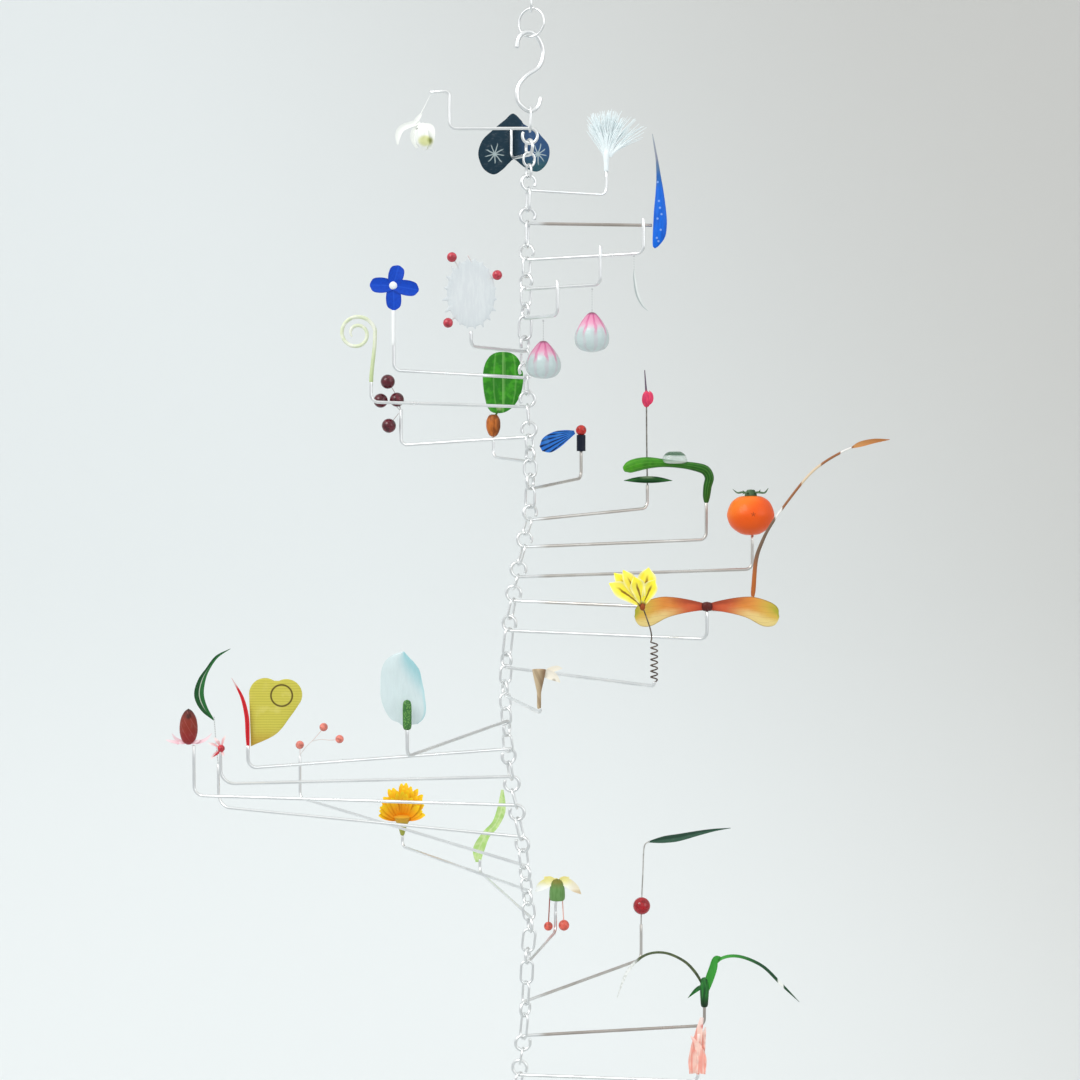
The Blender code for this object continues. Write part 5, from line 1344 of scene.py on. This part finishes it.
class MOBILE_OT_crescent_leaf(bpy.types.Operator):
    """A dark crescent leaf on a fine wire."""
    bl_idname = "mobile.crescent_leaf"
    bl_label = "Crescent leaf"

    def execute(self, context):
        tip, node = tip_of(25), ARMS[24].name
        f = Finish("crescent_green", "green_leaf", tip)
        rib = f.across.size().fade(0.14, 0.04) * (f.along.fade(0.1, 0.25) * f.along.fade(0.75, 0.5))
        base = f.mix(f.across.fade(-0.1, 0.1) * 0.5, paint("dark_leaf"), "2f7a3a")
        f.paper(f.mix(rib * 0.8, base, "cfd8c8"), 0.45, (1, 1, 0.4), 0.15, 0.08)
        path = [(-2.2, 0, 24.5), (-7.5, 0, 31.0), (-10.2, 0, 38.4), (-8.9, 0, 46), (-5.6, 0, 52.5), (-0.5, 0, 59.5), (7.0, 0, 64.0)]
        piece("crescent_leaf_sheet", node, f, [leaf(path, (0.3, 2.0, 2.7, 2.1, 1.1, 0.8, 0.1), 0.5, fold=0.35)], tip)
        w = thread_finish("crescent_wire")
        piece("crescent_leaf_wire", node, w, [tube(smooth([(0, 0, -0.6), (-1.2, 0, 12), (-2.2, 0, 26.5)], 12), 0.3, sides=8)], tip)
        return {"FINISHED"}


class MOBILE_OT_coral_berries(bpy.types.Operator):
    """Three coral berries on forked stalks."""
    bl_idname = "mobile.coral_berries"
    bl_label = "Coral berries"

    def execute(self, context):
        tip, node = tip_of(26), ARMS[25].name
        places = ((0, 0, 6.4), (13.9, 0, 16.8), (23.1, 0, 9.8))
        f = Finish("coral_berry", "coral_stem", tip).gloss(paint("coral"), 0.3)
        piece("coral_berry_beads", node, f, [bead(p, 2.45) for p in places], tip)
        s = Finish("coral_stalk", "coral_stem", tip)
        s.paper(s.mix(s.along, "d5d2ce", "dcb4ac"), 0.5)
        stalks = [
            [(0, 0, -0.6), (0.1, 0, 2.5), (0, 0, 5)],
            [(-0.1, 0, 0.4), (4, 0, 5.6), (8.0, 0, 9.5), (11.4, 0, 13.4), (13.2, 0, 15.6)],
            [(7.2, 0, 8.6), (12, 0, 9.6), (17, 0, 9.2), (21.4, 0, 9.4)],
        ]
        piece("coral_berry_stalks", node, s, [tube(smooth(p, 16), 0.15, (0.05, 1, 0), 6) for p in stalks], tip)
        return {"FINISHED"}


class MOBILE_OT_aster(bpy.types.Operator):
    """A fan of narrow yellow petals above a small cup."""
    bl_idname = "mobile.aster"
    bl_label = "Yellow aster"

    def execute(self, context):
        tip = tip_of(27)
        rng = np.random.default_rng(11)
        f = Finish("aster_yellow", "yellow_petal", tip)
        base = f.ramp(f.along, (0.0, "f08a10"), (1.0, "f8d820"), (0.35, "f5a010"), (0.7, "f8c41c"))
        rib = (f.across * 6).sine().size().fade(0.3, 0.0) * 0.25
        f.paper(f.mix(rib, base, "d98412"), 0.5, (1, 1, 0.3), 0.1, 0.08)
        skins = []
        rings = ((13, 72, 17.5, 9.0), (11, 60, 19.0, 9.6), (8, 44, 19.5, 10.4))
        for ring, (count, spread, long, start) in enumerate(rings):
            for k in range(count):
                lean = math.radians(-spread + 2 * spread * k / (count - 1) + rng.uniform(-3, 3))
                deep = 0.36 * (ring - 1) + rng.uniform(-0.08, 0.08)
                out = np.array([0.82 * math.sin(lean), deep, math.cos(lean)])
                reach = (long - 3.4 * abs(math.sin(lean))) * rng.uniform(0.92, 1.02)
                root = np.array([2.0 * math.sin(lean), 0.8 * deep, start])
                path = [
                    root, root + out * reach * 0.4 + (0, 0, -0.3), root + out * reach * 0.8,
                    root + out * reach + (0, 0, -0.5),
                ]
                skins.append(leaf(path, (0.6, 1.5, 1.7, 0.45), 0.35, (0.1, -1, 0.3), cup=0.3, rows=14, number=(k + ring) / 13))
        piece("aster_petals", "yellow_aster", f, skins, tip)
        g = Finish("aster_cup_green", "olive_leaf", tip)
        g.paper(g.mix(g.z.fade(4, 11), "9fa44a", "e0a52c"), 0.5, (1, 1, 0.3), 0.15)
        profile = [(0, 0.35), (1.0, 0.5), (1.6, 2.5), (2.6, 6), (4.6, 9.6), (5.4, 11), (4, 12), (0, 12.5)]
        piece("aster_cup", "yellow_aster", g, [turned(profile, sides=28, ribs=9, swell=0.05)], tip)
        return {"FINISHED"}


class MOBILE_OT_wavy_leaf(bpy.types.Operator):
    """A light green leaf that wavers as it rises."""
    bl_idname = "mobile.wavy_leaf"
    bl_label = "Wavy leaf"

    def execute(self, context):
        tip, node = tip_of(28), ARMS[27].name
        f = Finish("wavy_green", "green_leaf", tip)
        base = f.mix(f.noise(0.3, 3).fade(0.4, 0.6), "cfe8a0", "b5dd80")
        base = f.mix(f.across.size().fade(0.2, 0.05) * 0.4, base, "e4f0c4")
        f.paper(base, 0.5, (1, 1, 0.4), 0.08, 0.08, 0.9)
        path = [(-1.0, 0, -1.4), (-0.6, 0, 5.6), (3.2, 0, 13.5), (8.8, 0, 20), (12.0, 0, 28), (12.6, 0, 39.0)]
        blade = leaf(path, (1.4, 3.2, 2.4, 2.2, 2.4, 0.7), 0.6, wave=0.5, waves=4, cup=0.1)
        piece("wavy_leaf_blade", node, f, [blade], tip)
        return {"FINISHED"}


class MOBILE_OT_fuchsia(bpy.types.Operator):
    """A green dome with pale petals above it and two coral beads below."""
    bl_idname = "mobile.fuchsia"
    bl_label = "Fuchsia"

    def execute(self, context):
        tip = tip_of(29)
        f = Finish("dome_green", "green_leaf", tip)
        base = f.mix(f.z.fade(12, 17), "6f9a5a", "7d7a34")
        patch = f.noise(0.8, 3, (1, 1, 0.3)).fade(0.45, 0.65)
        f.paper(f.mix(patch * 0.4, base, "4f7c3a"), 0.45, (1, 1, 0.3), 0.1)
        profile = [(0, 6.3), (2.9, 6.1), (4.0, 6.7), (4.2, 10), (3.7, 13.6), (2.3, 16.6), (0, 17.6)]
        piece("fuchsia_dome", "fuchsia", f, [turned(profile, (0.9, 0, 0), sides=28)], tip)
        neck = smooth([(0, 0, -0.6), (0, 0, 3), (0.4, 0, 6), (0.9, 0, 8.5)], 12)
        piece("fuchsia_wire_end", "fuchsia", wire_finish("fuchsia_wire"), [tube(neck, 0.7, sides=12)], tip)
        p = Finish("fuchsia_petal", "white_petal", tip)
        base = p.mix(p.z.fade(12.5, 17), paint("white"), "f2e99a")
        base = p.mix(p.x.fade(5, 11), base, "efe6cc")
        p.paper(p.mix(p.x.fade(6, 10) * p.z.fade(12.5, 10.5) * 0.6, base, "c9a878"), 0.5, (1, 1, 1), 0.05)
        skins = []
        petals = (
            (-10.8, 0, 10.6, 2.4), (13.6, 0, 9.4, 2.4), (-6.0, 1, 18.5, 2.2), (7.3, 1, 18.3, 2.2), (1.0, 4.2, 17.0, 2.0),
        )
        for number, (x, y, z, half) in enumerate(petals):
            path = [(0.9, 0.4, 15.2), (x * 0.35 + 0.5, y * 0.5, 15.7), (x * 0.75, y, (z + 15) / 2 + 0.3), (x, y, z)]
            skins.append(leaf(path, (0.6, half, half * 0.9, 0.2), 0.4, (0.1, -1, 0.4), cup=0.3, number=number))
        piece("fuchsia_petals", "fuchsia", p, skins, tip)
        b = Finish("fuchsia_bead", "coral_stem", tip).gloss("ee6654", 0.25)
        s = Finish("fuchsia_stalk", "coral_stem", tip)
        s.paper(s.mix(s.x.fade(-1, 1), "a0483c", "efb9ae"), 0.5)
        hanging = ((-3.8, -7.9, 2.4), (4.5, -7.4, 2.9))
        beads = [bead((x, 0, z), radius) for x, z, radius in hanging]
        stalks = [tube(np.linspace((x * 0.8, 0, 8.0), (x, 0, z), 8), 0.3, sides=6) for x, z, _ in hanging]
        piece("fuchsia_beads", "fuchsia", b, beads, tip)
        piece("fuchsia_stalks", "fuchsia", s, stalks, tip)
        return {"FINISHED"}


class MOBILE_OT_red_berry(bpy.types.Operator):
    """A glossy red berry on its upright, and a dark leaf on a fine wire above."""
    bl_idname = "mobile.red_berry"
    bl_label = "Red berry"

    def execute(self, context):
        tip, node = tip_of(30), ARMS[29].name
        r = Finish("berry_red", "red_berry", tip).gloss(paint("red"), 0.12)
        piece("red_berry_bead", node, r, [bead((0.3, 0, 10.3), 4.7, sides=40)], tip)
        w = Finish("berry_wire", "steel_wire", tip)
        w.done(w.mix(w.noise(0.3, 3).fade(0.4, 0.6), "b8b6b2", "d2d0cc"), 0.35, w.noise(2.0, 3), 0.03, Metallic=0.8)
        stem = smooth([
            (0, 0, -0.6), (0.3, 0, 14), (1.0, 0, 30), (1.2, 0, 38), (1.6, 0, 42.5), (2.6, 0, 44.6), (4.6, 0, 45.5),
        ], 40)
        piece("red_berry_stem", node, w, [tube(stem, 0.36, sides=8)], tip)
        g = Finish("berry_leaf_green", "green_leaf", tip)
        g.paper(g.mix(g.across.fade(-0.15, 0.15) * 0.6, "2c4a3a", "3f6350"), 0.45, (0.3, 1, 1), 0.15, 0.08)
        path = [
            (3.7, 0, 45.3), (8, 0, 46.0), (13, 0, 46.8), (20.2, 0, 47.8), (31.5, 0, 50.3), (40, 0, 51.9), (48.6, 0, 52.9),
        ]
        piece("red_berry_leaf", node, g, [leaf(path, (0.3, 1.2, 1.9, 2.0, 1.3, 0.7, 0.1), 0.5, fold=0.3)], tip)
        return {"FINISHED"}


class MOBILE_OT_arching_leaves(bpy.types.Operator):
    """Long grassy leaves that arch out of a dark sheath."""
    bl_idname = "mobile.arching_leaves"
    bl_label = "Arching leaves"

    def execute(self, context):
        tip, node = tip_of(31), ARMS[30].name
        f = Finish("sheath_green", "green_leaf", tip)
        line = f.noise(0.8, 4, (1.5, 1, 0.15)).fade(0.42, 0.6)
        base = f.mix(f.number * 0.8, f.mix(line, "1e4f26", "2f7a34"), "3fa03a")
        f.paper(f.mix(f.z.fade(6, 0), base, "16361c"), 0.42, (1, 1, 0.2), 0.15, 0.1)
        spear = [(0.3, -0.2, 5.5), (2.0, -0.4, 12), (4.2, -0.3, 18.6), (5.6, 0, 23.6), (8.2, 0, 24.6)]
        low = [(0.6, -0.6, 9.3), (-1.8, -0.9, 9.2), (-4.6, -0.9, 7.4), (-8.5, -0.5, 3.4)]
        skins = [
            turned([(0, -1.1), (1.6, -1.0), (2.1, 3), (2.3, 8.0), (1.7, 13.0), (0, 14)], sides=24),
            leaf(spear, (1.2, 2.1, 2.1, 1.4, 0.15), 0.9, cup=0.4, number=1),
            leaf(low, (0.6, 1.1, 1.0, 0.1), 0.5, cup=0.3),
        ]
        piece("arching_sheath", node, f, skins, tip)
        g = Finish("arch_left_green", "green_leaf", tip)
        base = g.mix(g.noise(0.5, 3, (1, 1, 1)).fade(0.4, 0.6), "3f4a34", "55603f")
        silver = g.mix(g.noise(0.8, 2).fade(0.4, 0.6), "eef0ee", "d6d9d6")
        g.paper(g.mix(g.x.fade(-33.0, -37.0), base, silver), 0.42, (0.3, 1, 1), 0.1, 0.06)
        route = [
            (0.4, 0.5, 7.4), (-4.5, 0.5, 16), (-11, 0.3, 22.5), (-21, 0, 26.6), (-31, 0, 25.0), (-39.4, 0, 16.8),
            (-44.8, 0, 3.2),
        ]
        halves = (0.5, 0.75, 0.7, 0.65, 0.65, 0.85, 0.15)
        piece("arch_left", node, g, [leaf(route, halves, 0.4, (0, -1, 0.6), cup=0.3, rows=60)], tip)
        h = Finish("arch_right_green", "green_leaf", tip)
        gap = h.x.fade(37.0, 38.0) * h.x.fade(41.0, 40.0)
        base = h.mix(h.x.fade(8, 30), "3f9a3a", "1a4428")
        h.paper(h.mix(gap, base, "e9ebe6"), 0.42, (0.3, 1, 1), 0.12, 0.06)
        route = [(3.0, 0.4, 17), (8.5, 0.5, 23.4), (17.7, 0.2, 24.6), (29.4, 0, 19.8), (39.1, 0, 10.5), (48.6, 0, 1.2)]
        halves = (0.4, 0.8, 0.8, 0.8, 0.75, 0.1)
        piece("arch_right", node, h, [leaf(route, halves, 0.4, (0, -1, 0.6), cup=0.3, rows=60)], tip)
        return {"FINISHED"}


class MOBILE_OT_pink_coral(bpy.types.Operator):
    """Three ragged, wavering strips of coral-pink paper about one stem."""
    bl_idname = "mobile.pink_coral"
    bl_label = "Pink coral"

    def execute(self, context):
        tip = tip_of(32)
        f = Finish("coral_pink", "coral_stem", tip)
        streak = f.noise(0.6, 2, (1.4, 1, 0.12)).fade(0.45, 0.62)
        base = f.mix(streak * 0.7, "f9d0c2", paint("coral"))
        base = f.mix(f.along.fade(0.8, 1.0) * 0.7, base, "fbeeea")
        base = f.mix(f.close(2.4, 24, 1.0, 0.8) * 0.8, base, "d03a34")
        f.paper(base, 0.5, (1, 1, 0.2), 0.05, 0.05)
        strips = (
            ([(-1.4, 0, 0.6), (-1.9, 0, 8), (-0.4, 0, 17), (1.9, 0, 28.4)], (2.9, 2.8, 2.2, 0.9)),
            ([(1.0, -1.0, 0.8), (1.8, -1.0, 8), (0.0, -0.8, 14), (-3.6, -0.4, 19.4)], (2.6, 2.3, 1.7, 0.3)),
            ([(0.6, 1.0, 3.0), (1.4, 1.0, 11), (2.2, 0.9, 17), (3.8, 0.6, 23.4)], (2.2, 2.1, 1.6, 0.3)),
        )
        skins = [tube(smooth([(0, 0, 0.4), (-0.6, 0, 9), (0.4, 0, 20)], 16), 0.9, sides=12)]
        for number, (path, halves) in enumerate(strips):
            skins.append(leaf(path, halves, 0.6, cup=0.15, wave=0.35, waves=3 + number, number=number))
        piece("pink_coral_branches", "pink_coral", f, skins, tip)
        return {"FINISHED"}


class MOBILE_OT_last_two(bpy.types.Operator):
    """The seed head and the plain leaf of the two lowest arms."""
    bl_idname = "mobile.last_two"
    bl_label = "Seed head and last leaf"

    def execute(self, context):
        tip, node = tip_of(33), ARMS[32].name
        f = Finish("seed_head_brown", "brown_seed", tip)
        cells = f.node("ShaderNodeTexVoronoi", None, {"Vector": f.spot, "Scale": 0.9})
        f.done(f.mix(cells.fade(0.1, 0.6), "b98a5a", "6b4326"), 0.55, 1 - cells, 0.25)
        stem = tube(smooth([(0, 0, -0.6), (0.3, 0, 5), (0.5, 0, 9)], 10), 0.45, sides=8)
        piece("seed_head_ball", node, f, [bead((0.5, 0, 12.0), 3.55, 1.2, 32), stem], tip)
        tip, node = tip_of(34), ARMS[33].name
        g = Finish("last_leaf_green", "green_leaf", tip)
        rib = g.across.size().fade(0.12, 0.04)
        g.paper(g.mix(rib * 0.6, g.mix(g.noise(0.3, 3), "3f8a34", "2a6a2a"), "9cc480"), 0.45, (1, 1, 0.4), 0.15, 0.08)
        path = [(0, 0, -1.3), (1.5, 0, 7), (3.0, 0, 17), (7.4, 0, 27.8)]
        piece("last_leaf_blade", node, g, [leaf(path, (0.6, 2.5, 2.9, 0.15), 0.6, fold=0.25)], tip)
        return {"FINISHED"}


# The stage


class MOBILE_OT_stage(bpy.types.Operator):
    """A pale floor that sweeps up into a wall, soft light from above, and the camera."""
    bl_idname = "mobile.stage"
    bl_label = "Stage"

    def execute(self, context):
        chosen = settings().stage
        profile = np.concatenate([
            np.linspace((-3.0, -1.1), (0.9, -1.1), 12), np.array([0.9, -0.4]) + 0.7 * np.stack([
                np.sin(np.linspace(0.05, np.pi / 2, 16)), -np.cos(np.linspace(0.05, np.pi / 2, 16))], axis=1),
            np.linspace((1.6, -0.3), (1.6, 2.4), 10),
        ])
        x = np.linspace(-4, 4, 12)
        grid = np.stack([
            np.broadcast_to(x[None], (len(profile), 12)), np.broadcast_to(profile[:, :1], (len(profile), 12)),
            np.broadcast_to(profile[:, 1:], (len(profile), 12)),
        ], axis=-1)
        index = np.arange(grid.shape[0] * 12).reshape(-1, 12)
        quads = np.stack([index[:-1, :-1], index[:-1, 1:], index[1:, 1:], index[1:, :-1]], axis=-1).reshape(-1, 4)
        mesh = bpy.data.meshes.new("sweep")
        mesh.from_pydata(grid.reshape(-1, 3).tolist(), [], quads.tolist())
        mesh.polygons.foreach_set("use_smooth", np.ones(len(mesh.polygons), bool))
        f = Finish("sweep_paper", "")
        # Greyer towards the top right of the sweep: painted shade, as the light falls off.
        corner = (f.x * 0.9 + f.z * 0.55 + 60).fade(-420, 900)
        base = f.mix(corner, (*chosen.backdrop, 1.0), "cdccc9")
        base = f.mix(f.y.fade(700, 100), base, "c8cccd")
        f.done(f.mix(f.noise(0.002, 2) * 0.06, base, "ffffff"), 0.9)
        mesh.materials.append(f.material)
        sweep = bpy.data.objects.new("sweep", mesh)
        context.scene.collection.objects.link(sweep)
        world = bpy.data.worlds.new("studio")
        context.scene.world = world
        world.use_nodes = True
        nodes, links = world.node_tree.nodes, world.node_tree.links
        around, parts = nodes.new("ShaderNodeTexCoord"), nodes.new("ShaderNodeSeparateXYZ")
        level, shade = nodes.new("ShaderNodeMapRange"), nodes.new("ShaderNodeMix")
        shade.data_type = "RGBA"
        level.inputs["From Min"].default_value, level.inputs["From Max"].default_value = -0.35, 0.35
        shade.inputs[6].default_value, shade.inputs[7].default_value = tint("a9aeb3"), tint("f8faf9")
        links.new(around.outputs["Generated"], parts.inputs[0])
        links.new(parts.outputs["Z"], level.inputs["Value"])
        links.new(level.outputs["Result"], shade.inputs[0])
        links.new(shade.outputs[2], nodes["Background"].inputs["Color"])
        nodes["Background"].inputs["Strength"].default_value = chosen.sky
        for name, place, wide, power, tone in (
            ("key", (-1.1, -1.1, 1.0), 1.2, 1.0, (1.0, 0.99, 0.97)), ("fill", (1.6, -1.2, 0.3), 1.4, 0.35, (0.96, 0.98, 1.0)),
        ):
            light = bpy.data.lights.new(name, "AREA")
            light.shape, light.size, light.energy, light.color = "DISK", wide, chosen.key * power, tone
            lamp = bpy.data.objects.new(name, light)
            lamp.location = place
            aim = np.array([0, 0, -0.28]) - place
            lamp.rotation_euler = (math.acos(-aim[2] / np.linalg.norm(aim)), 0, math.atan2(aim[1], aim[0]) - math.pi / 2)
            context.scene.collection.objects.link(lamp)
        camera = bpy.data.cameras.new("camera")
        camera.lens, camera.sensor_width, camera.clip_start = chosen.focal, 36, 0.01
        eye = bpy.data.objects.new("camera", camera)
        eye.location = (0.00425, -1.0, -0.2345)
        eye.rotation_euler = (math.radians(90) - math.atan2(0.0375, 1.0), 0, 0)
        context.scene.collection.objects.link(eye)
        context.scene.camera = eye
        context.scene.view_settings.view_transform = "Standard"
        return {"FINISHED"}


OPERATORS = (
    MOBILE_OT_stage, MOBILE_OT_hardware, MOBILE_OT_arms, MOBILE_OT_snowdrop, MOBILE_OT_navy_leaf, MOBILE_OT_white_tassel,
    MOBILE_OT_blue_pod, MOBILE_OT_thin_leaf, MOBILE_OT_pink_bells, MOBILE_OT_spiny_leaf, MOBILE_OT_blue_flower,
    MOBILE_OT_tendril, MOBILE_OT_dark_berries, MOBILE_OT_acorn, MOBILE_OT_striped_petal, MOBILE_OT_pink_bud,
    MOBILE_OT_green_pod, MOBILE_OT_orange_fruit, MOBILE_OT_reed, MOBILE_OT_maple_key, MOBILE_OT_yellow_flower,
    MOBILE_OT_trumpet, MOBILE_OT_spathe, MOBILE_OT_heart_leaf, MOBILE_OT_small_flower, MOBILE_OT_brown_bud,
    MOBILE_OT_crescent_leaf, MOBILE_OT_coral_berries, MOBILE_OT_aster, MOBILE_OT_wavy_leaf, MOBILE_OT_fuchsia,
    MOBILE_OT_red_berry, MOBILE_OT_arching_leaves, MOBILE_OT_pink_coral, MOBILE_OT_last_two,
)


class MobileSettings(bpy.types.PropertyGroup):
    sizes: bpy.props.PointerProperty(name="Wire sizes", description="Sizes of the wires and their eyes", type=WireSizes)
    colours: bpy.props.PointerProperty(name="Paint colours", description="Colours of the paper", type=PaintColours)
    stage: bpy.props.PointerProperty(name="Stage", description="Backdrop, lights and lens", type=StageSettings)


class MOBILE_PT_panel(bpy.types.Panel):
    bl_label = "Paper mobile"
    bl_space_type = "VIEW_3D"
    bl_region_type = "UI"
    bl_category = "Mobile"

    def draw(self, context):
        for group in (context.scene.paper_mobile.sizes, context.scene.paper_mobile.colours, context.scene.paper_mobile.stage):
            box = self.layout.box()
            for key in group.bl_rna.properties.keys():
                if key not in ("rna_type", "name"):
                    box.prop(group, key)
        for operator in OPERATORS:
            self.layout.operator(operator.bl_idname)


CLASSES = (WireSizes, PaintColours, StageSettings, MobileSettings, *OPERATORS, MOBILE_PT_panel)


def register():
    for cls in CLASSES:
        bpy.utils.register_class(cls)
    bpy.types.Scene.paper_mobile = bpy.props.PointerProperty(type=MobileSettings)


def unregister():
    del bpy.types.Scene.paper_mobile
    for cls in reversed(CLASSES):
        bpy.utils.unregister_class(cls)


def main():
    register()
    for operator in OPERATORS:
        group, name = operator.bl_idname.split(".")
        if getattr(getattr(bpy.ops, group), name)() != {"FINISHED"}:
            raise RuntimeError(f"{operator.bl_label} was not made")


if __name__ == "__main__":
    main()
